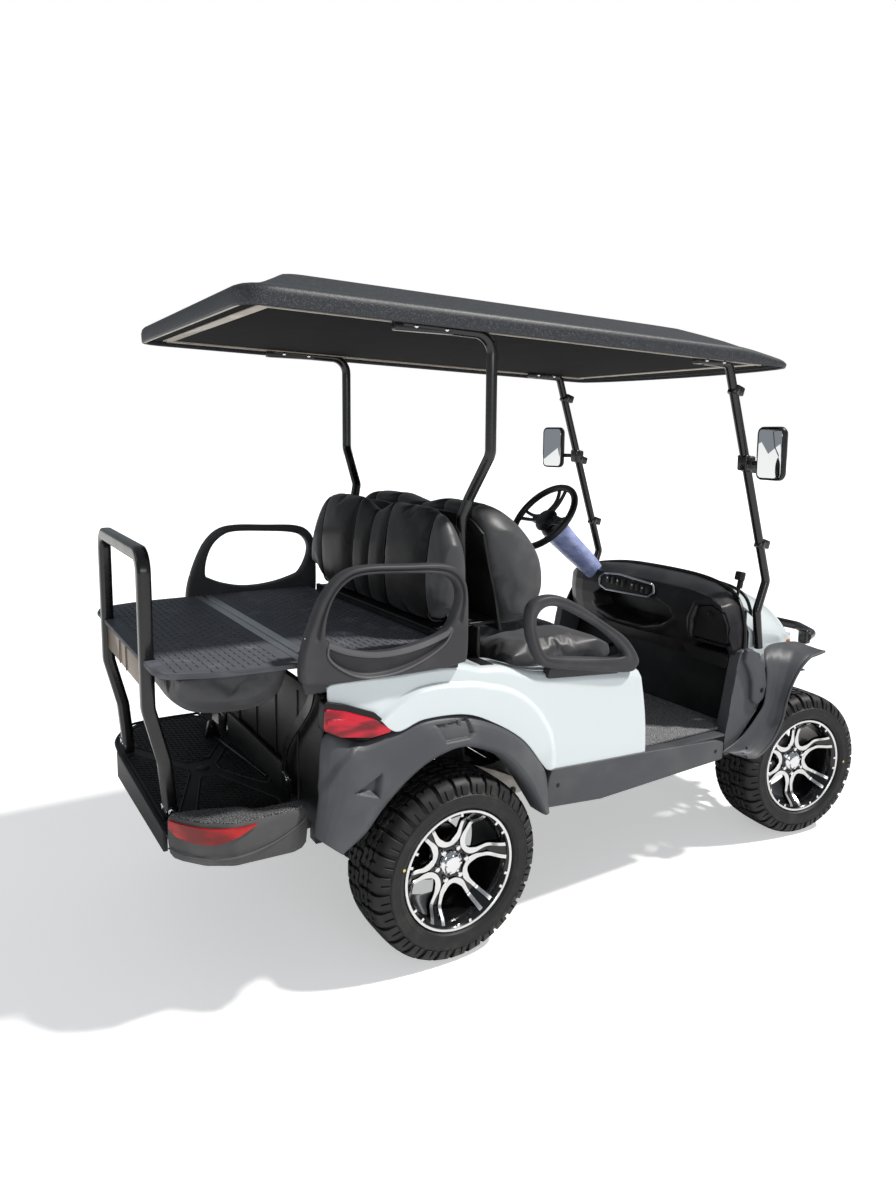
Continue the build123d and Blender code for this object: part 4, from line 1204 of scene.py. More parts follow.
def build_front():
    """Nose shell, flares, lamps, guard and the trim round them."""
    piece("nose_shell", cowl(), "body", replaces=["front_cowl"], angle=50, thickness=4)
    piece("front_flares", both_sides(front_flare), "trim black", replaces=["front_fenders"],
          angle=50, thickness=4)
    piece("wheel_wells", both_sides(wheel_well), "black", thickness=3)
    piece("head_lamps", both_sides(headlamp), "clear machined amber", replaces=["front_lights"])
    grille = [(block((24, 330, 150), (1346, 0, 640), 12), 0)]
    for z in (600, 625, 650, 675):
        grille.append((block((10, 290, 8), (1360, 0, z), 2), 0))
    bumper = slab(rounded([(1258, -312), (1304, -272), (1352, -170), (1352, 170), (1304, 272), (1258, 312),
                           (1254, 250), (1290, 150), (1290, -150), (1254, -250)], 22), 488, 560, "xy", 10)
    piece("nose_grille", joined(grille + [(bumper, 0)]), "black")
    hoop_line = [(1250, -462, 772), (1330, -430, 772), (1405, -300, 772), (1405, 300, 772), (1330, 430, 772),
                 (1250, 462, 772)]
    guard = [tube(hoop_line, 60, 19, 20, up=(0, 0, 1)), rod((1405, -212, 560), (1405, 212, 560), 17, 20)]
    for side in (1, -1):
        upright = [(1405, side * 195, 772), (1405, side * 195, 452), (1334, side * 195, 440)]
        guard += [tube(upright, 40, 17, 20),
                  rod((1405, side * 212, 560), (1405, side * 310, 560), 19, 20, edge=3),
                  rod((1250, side * 462, 772), (1246, side * 464, 772), 20, 20, edge=2),
                  block((34, 44, 60), (1250, side * 450, 772), 8)]
    piece("guard_tubes", joined(guard), "tube", replaces=["brush_guard"])
    gasket = [(908, side * y, z) for side, rows in ((-1, GASKET), (1, GASKET[::-1])) for y, z in rows]
    piece("screen_seal", strip(gasket, round_section(7), (1, 0, 0), 90), "black")


# ---------------------------------------------------------------------------------------
# dashboard and controls
# ---------------------------------------------------------------------------------------

COLUMN_TOP = Vector((402, 300, 1256))
COLUMN_WAY = Vector((math.cos(math.radians(41)), 0, -math.sin(math.radians(41))))
DASH_HALF = 545
# across the dashboard from the middle: (y, value) for its far edge and for the lip above its face
FAR_X = [(0, 846), (200, 846), (323, 838), (426, 812), (490, 786), (520, 770), (538, 746), (545, 724)]
FAR_Z = [(0, 1034), (200, 1030), (323, 1016), (426, 992), (490, 944), (520, 880), (538, 822), (545, 786)]
LIP_X = [(0, 690), (426, 692), (490, 696), (520, 702), (538, 710), (545, 716)]
LIP_Z = [(0, 1004), (200, 1003), (330, 1000), (426, 988), (490, 962), (520, 900), (538, 826), (545, 784)]
FACE_X = [(722, 706), (780, 702), (800, 692), (850, 677), (900, 670), (950, 673), (985, 681), (1004, 690)]
TRAY = [(251, 900), (205, 934), (112, 942), (-144, 938), (-222, 912), (-242, 880), (-180, 838), (-58, 805),
        (106, 806), (226, 840)]
SWITCH_LOW, SWITCH_HIGH = 932, 1004
GLOVE_ARCH = [(-532, 815), (-338, 815), (-342, 885), (-370, 950), (-445, 966), (-500, 946), (-526, 900)]
POCKET = [(-516, 774), (-340, 774), (-340, 806), (-516, 806)]
SWITCHES = [(-136, 962), (-122, 994), (94, 1008), (188, 1000), (220, 978), (206, 946), (158, 932),
            (-104, 940)]


def dash_point(y, v):
    """A point of the dashboard: v runs from its far top edge over the lip and down the face."""
    reach = abs(y)
    far_x, far_z, lip_x, lip_z = (read(table, reach) for table in (FAR_X, FAR_Z, LIP_X, LIP_Z))
    ahead = read([(340, 0), (400, 10), (450, 34), (490, 58), (515, 76), (DASH_HALF, 96)], y)
    if v < 0.3:
        share = v / 0.3
        x = lerp(far_x, lip_x + ahead, share)
        return Vector((x, y, lerp(far_z, lip_z, share) + 12 * math.sin(math.pi * share)))
    share = min((v - 0.3) / 0.64, 1)
    low = 782 - 60 * smooth(-262, -322, y) * smooth(-520, -498, y)
    z = lerp(lip_z, low, share)
    x = read(FACE_X, z) + (lip_x - 690) * smooth(700, 1000, z) + ahead + 70 * smooth(0.94, 1, v)
    tray, glove = to_outline((y, z), TRAY), to_outline((y, z), GLOVE_ARCH)
    x += 84 * smooth(3, -6, tray) + 11 * smooth(2, -3, glove) + 44 * smooth(2, -5, to_outline((y, z), POCKET))
    x -= 9 * smooth(40, 14, tray) * smooth(0, 5, tray) * smooth(872, 846, z)
    x -= 6 * smooth(20, 9, glove) * smooth(0, 4, glove)
    return Vector((x, y, z))


def build_dash():
    """Dashboard, switch panel, trays, glovebox lid, column film, steering wheel and pedals."""
    form = surface(290, 120, lambda u, v: dash_point(lerp(-DASH_HALF, DASH_HALF, u), v), flip=True)
    piece("dash_moulding", form, "dash", replaces=["dashboard"], angle=50, thickness=4)
    top = [(block((8, 1010, 236), (806, 0, 820), 2), 0)]
    for y_from, y_to in ((-262, -128), (40, 170)):

        def vent(u, v):
            on_dash = dash_point(lerp(y_from + 26 * v, y_to - 30 * v, u), lerp(0.06, 0.2, v))
            return on_dash + Vector((0, 0, 2))

        top.append((surface(12, 6, vent), 0))
    accent = [dash_point(y, 0.27) + Vector((0, 0, 1)) for y in range(-300, -59, 30)]
    top.append((strip(accent, round_section(1.6, 6), (0, 0, 1), 30), 1))
    piece("dash_vents", joined(top), "dash aluminium", thickness=2)
    seal = [(846, 0, 1040), (846, 190, 1036), (837, 323, 1022), (812, 428, 998), (788, 492, 948),
            (772, 524, 880), (752, 545, 812), (732, 554, 752)]
    line = [(x, -y, z) for x, y, z in seal[:0:-1]] + seal
    piece("dash_seal", strip(line, box_section(9, -6, 9, 4), (-1, 0, 1), 120), "black")

    def on_face(outline, lift, low, high):
        """A plate that follows the slope of the dashboard's face between two heights."""
        plate = slab(outline, 0, lift, "yz", 3)
        foot, head = read(FACE_X, low), read(FACE_X, high)
        for vert in plate.verts:
            vert.co.x += lerp(foot, head, (vert.co.z - low) / (high - low)) - lift
        return plate

    def panel_x(z):
        """Where the switch panel's front stands at a height."""
        share = (z - SWITCH_LOW) / (SWITCH_HIGH - SWITCH_LOW)
        return lerp(read(FACE_X, SWITCH_LOW), read(FACE_X, SWITCH_HIGH), share) - 15

    outline = rounded(SWITCHES, 16)
    panel = on_face(outline, 14, SWITCH_LOW, SWITCH_HIGH)
    ring = [(panel_x(p.y), p.x, p.y) for p in outline]
    switches = [(panel, 0), (strip(ring + ring[:1], round_section(4.5, 8), (1, 0, 0), 110), 1)]
    for index, y in enumerate((-98, -66, -34, -2, 58, 92, 126, 160)):
        z = 970 + 0.05 * y
        x = panel_x(z)
        switches.append((block((8, 25, 34), (x, y, z), 3), 0))
        switches.append((rod((x - 3, y, z + 6), (x - 5, y, z + 6), 4, 14), 1 if index % 2 else 0))
    piece("switch_panel", joined(switches), "black aluminium")
    lid = on_face(rounded([(-528, 820), (-343, 820), (-347, 885), (-374, 946), (-444, 961), (-496, 941),
                           (-520, 897)], 18), 11, 815, 966)
    moved(lid, Matrix.Translation((7, 0, 0)))
    latch = rod((678, -441, 925), (666, -441, 925), 11, 24, edge=1.5)
    piece("glovebox_lid", joined([(lid, 0), (latch, 1)]), "dash black", "glovebox_door",
          ["glovebox_door"])

    def down(distance):
        return COLUMN_TOP + COLUMN_WAY * distance

    spin = COLUMN_WAY.to_track_quat("Y", "Z").to_matrix().to_4x4()
    place = Matrix.Translation(COLUMN_TOP) @ spin
    cone = turned([(36, 60), (54, 62), (58, 72), (57, 110), (54, 180), (51, 260), (46, 340), (41, 420),
                   (37, 450), (12, 452), (12, 700), (0, 700)], 40)
    for vert in cone.verts:
        if 70 < vert.co.y < 440:
            out = Vector((vert.co.x, 0, vert.co.z)).normalized()
            vert.co += out * noise.noise(vert.co * 0.02) * 5
    collar = turned([(30, 40), (48, 42), (52, 56), (50, 70), (34, 72)], 40)
    piece("column_shroud", moved(joined([(cone, 0), (collar, 1)]), place), "film black",
          replaces=["steering_column"])
    stalk = rod(down(80) + Vector((0, 40, 0)), down(60) + Vector((0, 130, 6)), 6, 12, edge=2)
    piece("turn_stalk", stalk, "black")

    rim_bm = bmesh.new()
    circle = bmesh.ops.create_circle(rim_bm, radius=15, segments=16)["verts"]
    bmesh.ops.translate(rim_bm, vec=(168, 0, 0), verts=circle)
    bmesh.ops.spin(rim_bm, geom=list(rim_bm.verts) + list(rim_bm.edges), cent=(0, 0, 0), axis=(0, 1, 0),
                   angle=math.tau, steps=72, use_merge=True, use_duplicate=False)
    bmesh.ops.recalc_face_normals(rim_bm, faces=rim_bm.faces)
    hub_bm = turned([(0, -6), (26, -5), (40, 0), (54, 14), (56, 26), (50, 36), (20, 60), (0, 60)], 40)
    parts = [rim_bm, hub_bm]
    for angle in (0, 180, 90):
        for off in (-13, 13):
            arm = [(40, off * 1.1, 14), (90, off * 0.9, 20), (130, off * 1.2, 14), (164, off * 1.8, 2)]
            path = []
            for a, b, depth in arm:
                x, z = spun(a, b, angle)
                path.append((x, depth, z))
            parts.append(strip(path, box_section(7, -6, 6, 3), (0, 1, 0), 12))
        web = [spun(a, b, angle) for a, b in ((50, -12), (92, -9), (92, 9), (50, 12))]
        parts.append(slab(web, 12, 22, "xz", 2))
    wheel = joined(parts)
    piece("steering_rim", moved(wheel, place), "black", "steering_wheel",
          ["steering_wheel"], angle=40)

    pads = []
    for y, width in ((400, 70), (230, 110)):
        side = rounded([(640, 540), (652, 536), (700, 650), (688, 655)], 4)
        plate = slab(side, y - width / 2, y + width / 2, "xz", 2)
        pads += [plate, rod((690, y, 640), (782, y, 650), 9, 14)]
        for step in range(6):
            share = (step + 1) / 7
            pads.append(block((5, width - 12, 5), (lerp(640, 688, share) - 2, y, lerp(540, 655, share)), 1))
    piece("pedal_pads", joined(pads), "tube", replaces=["pedals"])


# ---------------------------------------------------------------------------------------
# seats
# ---------------------------------------------------------------------------------------

SIM_FRAMES = 20
PAD_GRID = 0.0055
PAD_TRAVEL = 0.024
PAD_PRESSURE = 4.0
PAD_STRETCH = 22
PAD_BEND = 4
# the folding cushion lies flat against its pan
PAN_FACE = 0.971
REAR_SIDE = [(-508, 1034), (-500, 1120), (-496, 1210), (-499, 1300), (-512, 1364), (-540, 1394), (-570, 1374),
             (-593, 1300), (-606, 1200), (-604, 1110), (-588, 1040), (-546, 1024)]
FRONT_SIDE = [(-236, 1000), (-192, 1072), (-172, 1150), (-188, 1250), (-250, 1338), (-326, 1386),
              (-378, 1394), (-408, 1372), (-400, 1310), (-376, 1220), (-346, 1100), (-316, 1004), (-276, 990)]
CUSHION_SIDE = [(-322, 826), (96, 826), (124, 850), (116, 888), (60, 915), (-100, 912), (-322, 900)]
REAR_HUMP = [(0, 0.87), (60, 0.91), (130, 0.985), (235, 1.0), (350, 0.99), (420, 0.95), (470, 0.86),
             (500, 0.75), (522, 0.62)]
FRONT_HUMP = [(0, 0.94), (60, 0.96), (150, 1.0), (300, 1.0), (400, 0.975), (450, 0.91), (480, 0.82),
              (510, 0.7)]


def seat_loops(side_line, y_from, y_to, hump, base, steps=18, belly=0.0):
    """Sections of a seat back across y; hump gives the height and belly draws in the lower corners."""
    section = ringed(side_line, 72)
    middle = sum(section, Vector((0, 0))) / len(section)
    loops = []
    for step in range(steps + 1):
        share = 0.5 - 0.5 * math.cos(math.pi * step / steps)
        y = lerp(y_from, y_to, share)
        tall = follow_table(hump, abs(y))
        edge = min(share, 1 - share)
        thin = 0.62 + 0.38 * math.sqrt(1 - (1 - min(edge / 0.3, 1)) ** 2)
        loop = []
        for x, z in section:
            bulge = belly * smooth(400, 492, abs(y)) * (1 - smooth(base, base + 150, z))
            loop.append((middle.x + (x - middle.x) * thin, y, base + (z - base) * tall + bulge))
        loops.append(loop)
    return loops


def raw_pad(name, bm):
    """A pad's first form in metres, evenly remeshed."""
    bmesh.ops.scale(bm, vec=(MM, MM, MM), verts=bm.verts)
    mesh = bpy.data.meshes.new(name)
    bm.to_mesh(mesh)
    bm.free()
    made = bpy.data.objects.new(name, mesh)
    bpy.context.scene.collection.objects.link(made)
    remesh = made.modifiers.new("even", "REMESH")
    remesh.mode = "VOXEL"
    remesh.voxel_size = PAD_GRID
    bake(made)
    return made


def bake(made):
    """Replace an object's mesh by what its modifiers give."""
    bpy.context.view_layer.update()
    graph = bpy.context.evaluated_depsgraph_get()
    final = bpy.data.meshes.new_from_object(made.evaluated_get(graph))
    made.modifiers.clear()
    made.data = final


def inflate(pads):
    """Blow the pads up together by cloth pressure and limit how far any point travels."""
    before = {}
    for made in pads:
        before[made.name] = [v.co.copy() for v in made.data.vertices]
        cloth = made.modifiers.new("stuffing", "CLOTH")
        cloth.settings.quality = 5
        cloth.settings.use_pressure = True
        cloth.settings.uniform_pressure_force = PAD_PRESSURE
        cloth.settings.effector_weights.gravity = 0.0
        cloth.settings.tension_stiffness = PAD_STRETCH
        cloth.settings.compression_stiffness = PAD_STRETCH
        cloth.settings.bending_stiffness = PAD_BEND
        cloth.point_cache.frame_start = 1
        cloth.point_cache.frame_end = SIM_FRAMES
    for step in range(1, SIM_FRAMES + 1):
        bpy.context.scene.frame_set(step)
    for made in pads:
        bake(made)
        for vert, start in zip(made.data.vertices, before[made.name]):
            travel = vert.co - start
            if travel.length > PAD_TRAVEL:
                vert.co = start + travel.normalized() * PAD_TRAVEL
    bpy.context.scene.frame_set(1)


def finish_pad(made, finish, body, stands_for, fill):
    bm = bmesh.new()
    bm.from_mesh(made.data)
    for _ in range(3):
        bmesh.ops.smooth_vert(bm, verts=bm.verts, factor=0.5, use_axis_x=True, use_axis_y=True,
                              use_axis_z=True)
    if body == "deck_flip":
        for vert in bm.verts:
            vert.co.z = min(vert.co.z, PAN_FACE)
    bm.to_mesh(made.data)
    bm.free()
    made.data.materials.clear()
    made.data.materials.append(FINISHES[finish])
    made.data.shade_smooth()
    subdivision = made.modifiers.new("round", "SUBSURF")
    subdivision.levels = 1
    subdivision.render_levels = 1
    bake(made)
    made.data.shade_smooth()
    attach(made, body)
    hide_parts(stands_for)


def cushion_loops(side_line, y_from, y_to, steps=8, narrow=0.86):
    """Sections of a cushion across y, drawn in towards both ends."""
    section = rounded([Vector(p) for p in side_line], 20, 4)
    middle = sum(section, Vector((0, 0))) / len(section)
    loops = []
    for step in range(steps + 1):
        share = 0.5 - 0.5 * math.cos(math.pi * step / steps)
        thin = narrow + (1 - narrow) * math.sqrt(1 - (1 - min(min(share, 1 - share) / 0.2, 1)) ** 2)
        loops.append([(middle.x + (x - middle.x) * (0.75 + 0.25 * thin), lerp(y_from, y_to, share),
                       middle.y + (z - middle.y) * thin) for x, z in section])
    return loops


def tub_loops(side_line):
    """Sections of the folded cushion's shell across y: deep in the middle, rising to rounded ends."""
    loops = []
    for step in range(25):
        share = 0.5 - 0.5 * math.cos(math.pi * step / 24)
        deep = (1 - abs(2 * share - 1) ** 9) ** 0.5
        loops.append([(lerp(-1210, x, 0.90 + 0.10 * deep), lerp(-492, 492, share),
                       974 - (974 - z) * max(deep, 0.06)) for x, z in ringed_open(side_line, 40)])
    return loops


def ringed_open(points, count):
    """A smooth open line through the points, cut into count - 1 equal runs."""
    return [follow(points, k / (count - 1)) for k in range(count)]


def build_seats():
    """Every cushion and back, simulated together, with their shells, piping and frame."""
    tray = [(-1376, 972), (-1362, 906), (-1320, 858), (-1240, 838), (-1130, 836), (-1078, 866), (-1056, 930),
            (-1054, 972)]
    groups = [
        # name, node it stands for, fill, sections as (name, y from, y to, finish), its loops
        ("rear_back", "rear_seat_back", 0.9,
         (("inner", 3, 127, "seat_black"), ("outer", 129, 417, "seat_black"),
          ("bolster", 419, 516, "seat_side")),
         lambda low, high: seat_loops(REAR_SIDE, low, high, REAR_HUMP, 1020, belly=60)),
        ("front_back", "front_seat_back", 0.85,
         (("inner", 4, 170, "seat"), ("outer", 172, 356, "seat"), ("bolster", 358, 486, "seat_side")),
         lambda low, high: seat_loops(FRONT_SIDE, low, high, FRONT_HUMP, 985, belly=40)),
        ("front_cushion", "front_seat_cushion", 0.8,
         (("inner", 4, 250, "seat_side"), ("outer", 252, 494, "seat_side")),
         lambda low, high: cushion_loops(CUSHION_SIDE, low, high)),
    ]
    plans = []
    for side, sign in SIDES.items():
        for group, stands_for, fill, sections, loops in groups:
            for name, low, high, finish in sections:
                low, high = sorted((sign * low, sign * high))
                plans.append((group + "_" + name + "_" + side, loops(low, high), finish, "chassis",
                              stands_for, fill))
    plans.append(("rear_cushion", tub_loops(tray), "seat_side", "deck_flip", "rear_seat_cushion", 0.9))
    pads = [raw_pad(name, loft(loops)) for name, loops, *_ in plans]
    inflate(pads)
    for made, (_name, _loops, *finishing) in zip(pads, plans):
        finish_pad(made, *finishing)

    shells = []
    shell_line = [(-318, 990), (-352, 1120), (-392, 1240), (-424, 1350), (-436, 1350), (-404, 1236),
                  (-364, 1116), (-332, 990)]
    widths = seat_loops(shell_line, -470, 470, FRONT_HUMP, 985, 24)
    shells.append(loft(widths))
    back_line = [(-500, 1024), (-494, 1160), (-492, 1290), (-512, 1356), (-502, 1360), (-480, 1292),
                 (-482, 1160), (-488, 1024)]
    shells.append(loft(seat_loops(back_line, -470, 470, REAR_HUMP, 1020, 24)))
    shells.append(block((262, 900, 12), (-464, 0, 1009), 4))
    for y in (-455, 455):
        shells.append(slab(rounded([(-592, 906), (-592, 1012), (-578, 1012), (-578, 906)], 2), y - 30, y + 30,
                           "xz"))
    shells.append(block((14, 960, 106), (-586, 0, 958), 4))
    shells.append(block((12, 960, 98), (-432, 0, 955), 4))
    piece("seat_shells", joined(shells), "black", replaces=["seat_back_frame"])
    plates = []
    for y in (-470, -160, 160, 470):
        plates.append(bolt((-470, y, 1015), (0, 0, 1), 8, 6, 14))
    for side in (1, -1):
        hinge = slab(rounded([(-470, 1010), (-520, 1080), (-540, 1080), (-520, 1010)], 6), side * 440 - 4,
                     side * 440 + 4, "xz", 1)
        plates.append(hinge)
    piece("seat_brackets", joined(plates), "tube")
    base = slab(rounded([(-336, -512), (140, -512), (140, 512), (-336, 512)], 30), 815, 828, "xy", 3)
    piece("seat_base", base, "black")
    seams = []
    for side_line, hump, base, belly, places in ((FRONT_SIDE, FRONT_HUMP, 985, 40, (357, 171)),
                                                 (REAR_SIDE, REAR_HUMP, 1020, 60, (418, 128))):
        for y in places:
            for side in (1, -1):
                row = seat_loops(side_line, side * (y - 2), side * (y + 2), hump, base, 2, belly)[1]
                middle = sum((Vector(p) for p in row), Vector()) / len(row)
                line = [Vector((lerp(middle.x, p[0], 0.8), p[1], min(p[2], p[2] * 0.985 + 12))) for p in row]
                seams.append(strip(line + line[:1], round_section(3.4, 6), (0, 1, 0), 110))
    piece("seat_piping", joined(seams), "black")


# ---------------------------------------------------------------------------------------
# armrests
# ---------------------------------------------------------------------------------------

FRONT_ARM = [(-240, 872), (-60, 836), (100, 812), (140, 824), (148, 856), (90, 932), (-10, 1000),
             (-110, 1062), (-200, 1104), (-276, 1108), (-322, 1078), (-326, 1000), (-292, 912)]
FRONT_ARM_GAP = [(-214, 908), (-60, 884), (50, 872), (76, 884), (20, 942), (-60, 996), (-150, 1044),
                 (-220, 1072), (-270, 1066), (-292, 1030), (-276, 960), (-250, 920)]
REAR_ARM = [(-1076, 960), (-1070, 1030), (-1040, 1120), (-1002, 1192), (-950, 1238), (-880, 1252),
            (-760, 1247), (-640, 1240), (-588, 1218), (-560, 1170), (-554, 1090), (-557, 958), (-580, 938),
            (-700, 930), (-930, 932), (-1050, 940)]
REAR_ARM_GAP = [(-1004, 1062), (-1000, 1116), (-978, 1172), (-940, 1210), (-890, 1226), (-770, 1222),
                (-660, 1212), (-610, 1192), (-588, 1152), (-598, 1098), (-636, 1042), (-709, 1018),
                (-790, 1006), (-867, 1008), (-942, 1026), (-985, 1044)]
# the crescent hollow in the outer face of a rear armrest, its upper rim first
SCOOP = [(-1000, 1040), (-942, 1014), (-867, 996), (-790, 994), (-709, 1005), (-632, 1028), (-612, 1044),
         (-640, 1004), (-709, 966), (-790, 942), (-868, 938), (-922, 950), (-972, 980), (-1000, 1012)]


def build_armrests():
    """Moulded loops beside both seats."""
    hollow = ringed(SCOOP, 60)

    def rear_face(x, z, y, share):
        if y < 590:
            return y
        groove = 8 * smooth(0.34, 0.1, abs(share + 0.12)) * smooth(1050, 1075, z)
        return y - groove - 17 * smooth(3, -10, to_outline((x, z), hollow))

    def rear_arm():
        outer, gap = [Vector(p) for p in REAR_ARM], [Vector(p) for p in REAR_ARM_GAP]
        loop = hoop(outer, gap, 574, 618, 12, 260, 60, rear_face)
        lower = [(x, 617.5, z) for x, z in SCOOP[6:] + SCOOP[:1]]
        upper = [(x, 614, z + 5) for x, z in SCOOP[:7]]
        foot = slab(rounded([(-1052, 906), (-574, 906), (-566, 946), (-1064, 950)], 8), 570, 584, "xz", 4)
        # the scoop's rims take the lighter rim plastic: a painted highlight along its edges
        bits = [(loop, 0), (foot, 0), (strip(lower, round_section(3.2, 8), (0, 1, 0), 70), 2),
                (strip(upper, [(-8, -4), (-8, 2), (0, 5), (8, 2), (8, -4)], (0, 1, 0), 60), 2)]
        for x, z in ((-1052, 1066), (-1014, 1066), (-574, 1046)):
            bits.append((rod((x, 598, z - 2), (x, 598, z + 3), 9, 18, edge=1), 1))
        return joined(bits)

    piece("rear_arm_loops", both_sides(rear_arm), "arm chrome arm_rim",
          replaces=["rear_armrests"], angle=60)

    def front_face(_x, _z, y, share):
        return y - 3 * smooth(0.5, 0.1, abs(share)) if y > 590 else y

    def front_arm():
        loop = hoop([Vector(p) for p in FRONT_ARM], [Vector(p) for p in FRONT_ARM_GAP], 564, 608, 17, 200, 32,
                    front_face)
        foot = slab(rounded([(-240, 836), (60, 812), (70, 830), (-230, 868)], 8), 560, 592, "xz", 4)
        return joined([(loop, 0), (foot, 0)])

    piece("front_arm_loops", both_sides(front_arm), "arm", replaces=["front_armrests"],
          angle=60)


# ---------------------------------------------------------------------------------------
# rear deck, footplate, steps and grab bar
# ---------------------------------------------------------------------------------------

# the treads stay low enough for the two plates to fold face to face
MAT_TOP = 990.6
HINGE_X, HINGE_Z, PIN_RADIUS = -1026, 993, 3.5


def dashes(x_from, x_to, half, top, skip=lambda x, y: False):
    """Raised tread dashes laid like bricks."""
    places = []
    rows = int((x_to - x_from) / 21)
    for row in range(rows):
        x = x_from + 10 + row * 21
        y = -half + 14 + (row % 2) * 21
        while y < half - 12:
            if not skip(x, y):
                places.append(Matrix.Translation((x, y, top)))
            y += 42
    dash = block((8, 27, 4), (0, 0, 0), 1.6)
    return scatter(dash, places)


def barrels(runs):
    """Hinge barrels along the deck's pin, each from one y to another."""
    return [rod((HINGE_X, y_from, HINGE_Z), (HINGE_X, y_to, HINGE_Z), PIN_RADIUS, 12)
            for y_from, y_to in runs]


def leaf(x_from, x_to):
    """One ribbed aluminium leaf of the deck hinge."""
    parts = [block((x_to - x_from, 1090, 2.4), ((x_from + x_to) / 2, 0, 990.4), 0.6)]
    for share in (0.1, 0.5, 0.9):
        parts.append(block((3, 1090, 2.6), (lerp(x_from, x_to, share), 0, 991.4), 0.7))
    return joined(parts)


def build_deck():
    """The folding deck: two coated plates, their dash treads and the aluminium hinge."""
    fixed = slab(rounded([(-998, -566), (-596, -566), (-596, 566), (-998, 566)], 6), 978, 990, "xy", 2)
    field = rounded([(-950, -545), (-604, -545), (-604, 545), (-950, 545)], 12)
    fixed_parts = [(fixed, 0), (slab(field, 989, MAT_TOP, "xy", 0.6), 0),
                   (dashes(-946, -606, 540, MAT_TOP), 0)]
    for y in (-420, -140, 140, 420):
        fixed_parts.append((block((330, 20, 74), (-780, y, 942), 3), 0))
    fixed_parts.append((block((5, 1128, 5), (-958, 0, 989.9), 1.5), 0))
    piece("deck_front_plate", joined(fixed_parts), "deck", replaces=["deck_fixed"])
    outline = [(-1030, -560), (-1030, 560), (-1267, 545), (-1397, 495), (-1417, 430), (-1417, 325),
               (-1384, 325), (-1384, 285), (-1417, 285), (-1417, -285), (-1384, -285), (-1384, -325),
               (-1417, -325), (-1417, -430), (-1397, -495), (-1267, -545)]
    radii = [6, 6, 60, 40, 30, 4, 6, 6, 4, 4, 6, 6, 4, 30, 40, 60]
    plate = slab(rounded(outline, radii, 6), 976, 990, "xy", 2.5)

    def at_leg(x, y):
        out = abs(y)
        return (x < -1366 and 270 < out < 340) or (x < -1300 and out > 486) or (x < -1385 and out > 400)

    mat = slab(rounded([(-1062, -540), (-1062, 540), (-1262, 526), (-1370, 482), (-1378, 400), (-1378, -400),
                        (-1370, -482), (-1262, -526)], 14), 989, MAT_TOP, "xy", 0.6)
    rim = [(-1044, 556, 988), (-1262, 541, 988), (-1388, 492, 988), (-1410, 420, 988)]
    parts = [(plate, 0), (mat, 0), (dashes(-1376, -1064, 530, MAT_TOP, at_leg), 0), (leaf(-1055, -1031), 2)]
    for sign in (1, -1):
        parts.append((strip([(x, sign * y, z) for x, y, z in rim], round_section(3, 8), (0, 0, 1), 24), 1))
        parts.append((block((60, 30, 20), (-1090, sign * 470, 966), 3), 1))
    parts += [(barrel, 2) for barrel in barrels(((-298, -82), (82, 298)))]
    piece("deck_flip_plate", joined(parts), "deck deck_margin aluminium", "deck_flip",
          ["deck_flip_panel"])
    rail = [block((24, 1090, 14), (-1010, 0, 984.5), 2), leaf(-1022, -997)]
    rail += barrels(((-460, -300), (-80, 80), (300, 460)))
    piece("deck_hinge", joined(rail), "aluminium", replaces=["deck_hinge_rail"])

    pan = slab(rounded([(-1340, -470), (-1090, -500), (-1090, 500), (-1340, 470)], 30), 968, 976, "xy", 2)
    piece("rear_cushion_plate", pan, "black", "deck_flip")


FOOT_OUTLINE = [(-1386, -420), (-1386, 300), (-1372, 430), (-1318, 545), (-1262, 590), (-1074, 590),
                (-1042, 560), (-1006, 300), (-1006, -300), (-1040, -496), (-1160, -490), (-1200, -440)]
FOOT_ZONES = [
    # textured fields of the footplate between its crossing ribs
    [(-1326, 330), (-1212, 96), (-1140, 96), (-1036, 284), (-1050, 540), (-1080, 570), (-1256, 570),
     (-1304, 520), (-1350, 420)],
    [(-1372, -300), (-1372, 236), (-1350, 268), (-1226, 30), (-1226, -10), (-1330, -300)],
    [(-1290, -330), (-1204, -52), (-1150, -52), (-1046, -330), (-1060, -470), (-1150, -466), (-1210, -420)],
    [(-1018, -250), (-1130, -20), (-1130, 40), (-1018, 240)],
]
STEP_OUTLINE = [(-1036, -508), (-1036, -545), (-1070, -562), (-1250, -562), (-1325, -510), (-1370, -446),
                (-1390, -404), (-1300, -424), (-1200, -452), (-1160, -498), (-1110, -506)]
REFLECTOR_PATH = [(-1384, -424), (-1360, -468), (-1318, -522), (-1282, -550), (-1240, -563), (-1188, -565)]


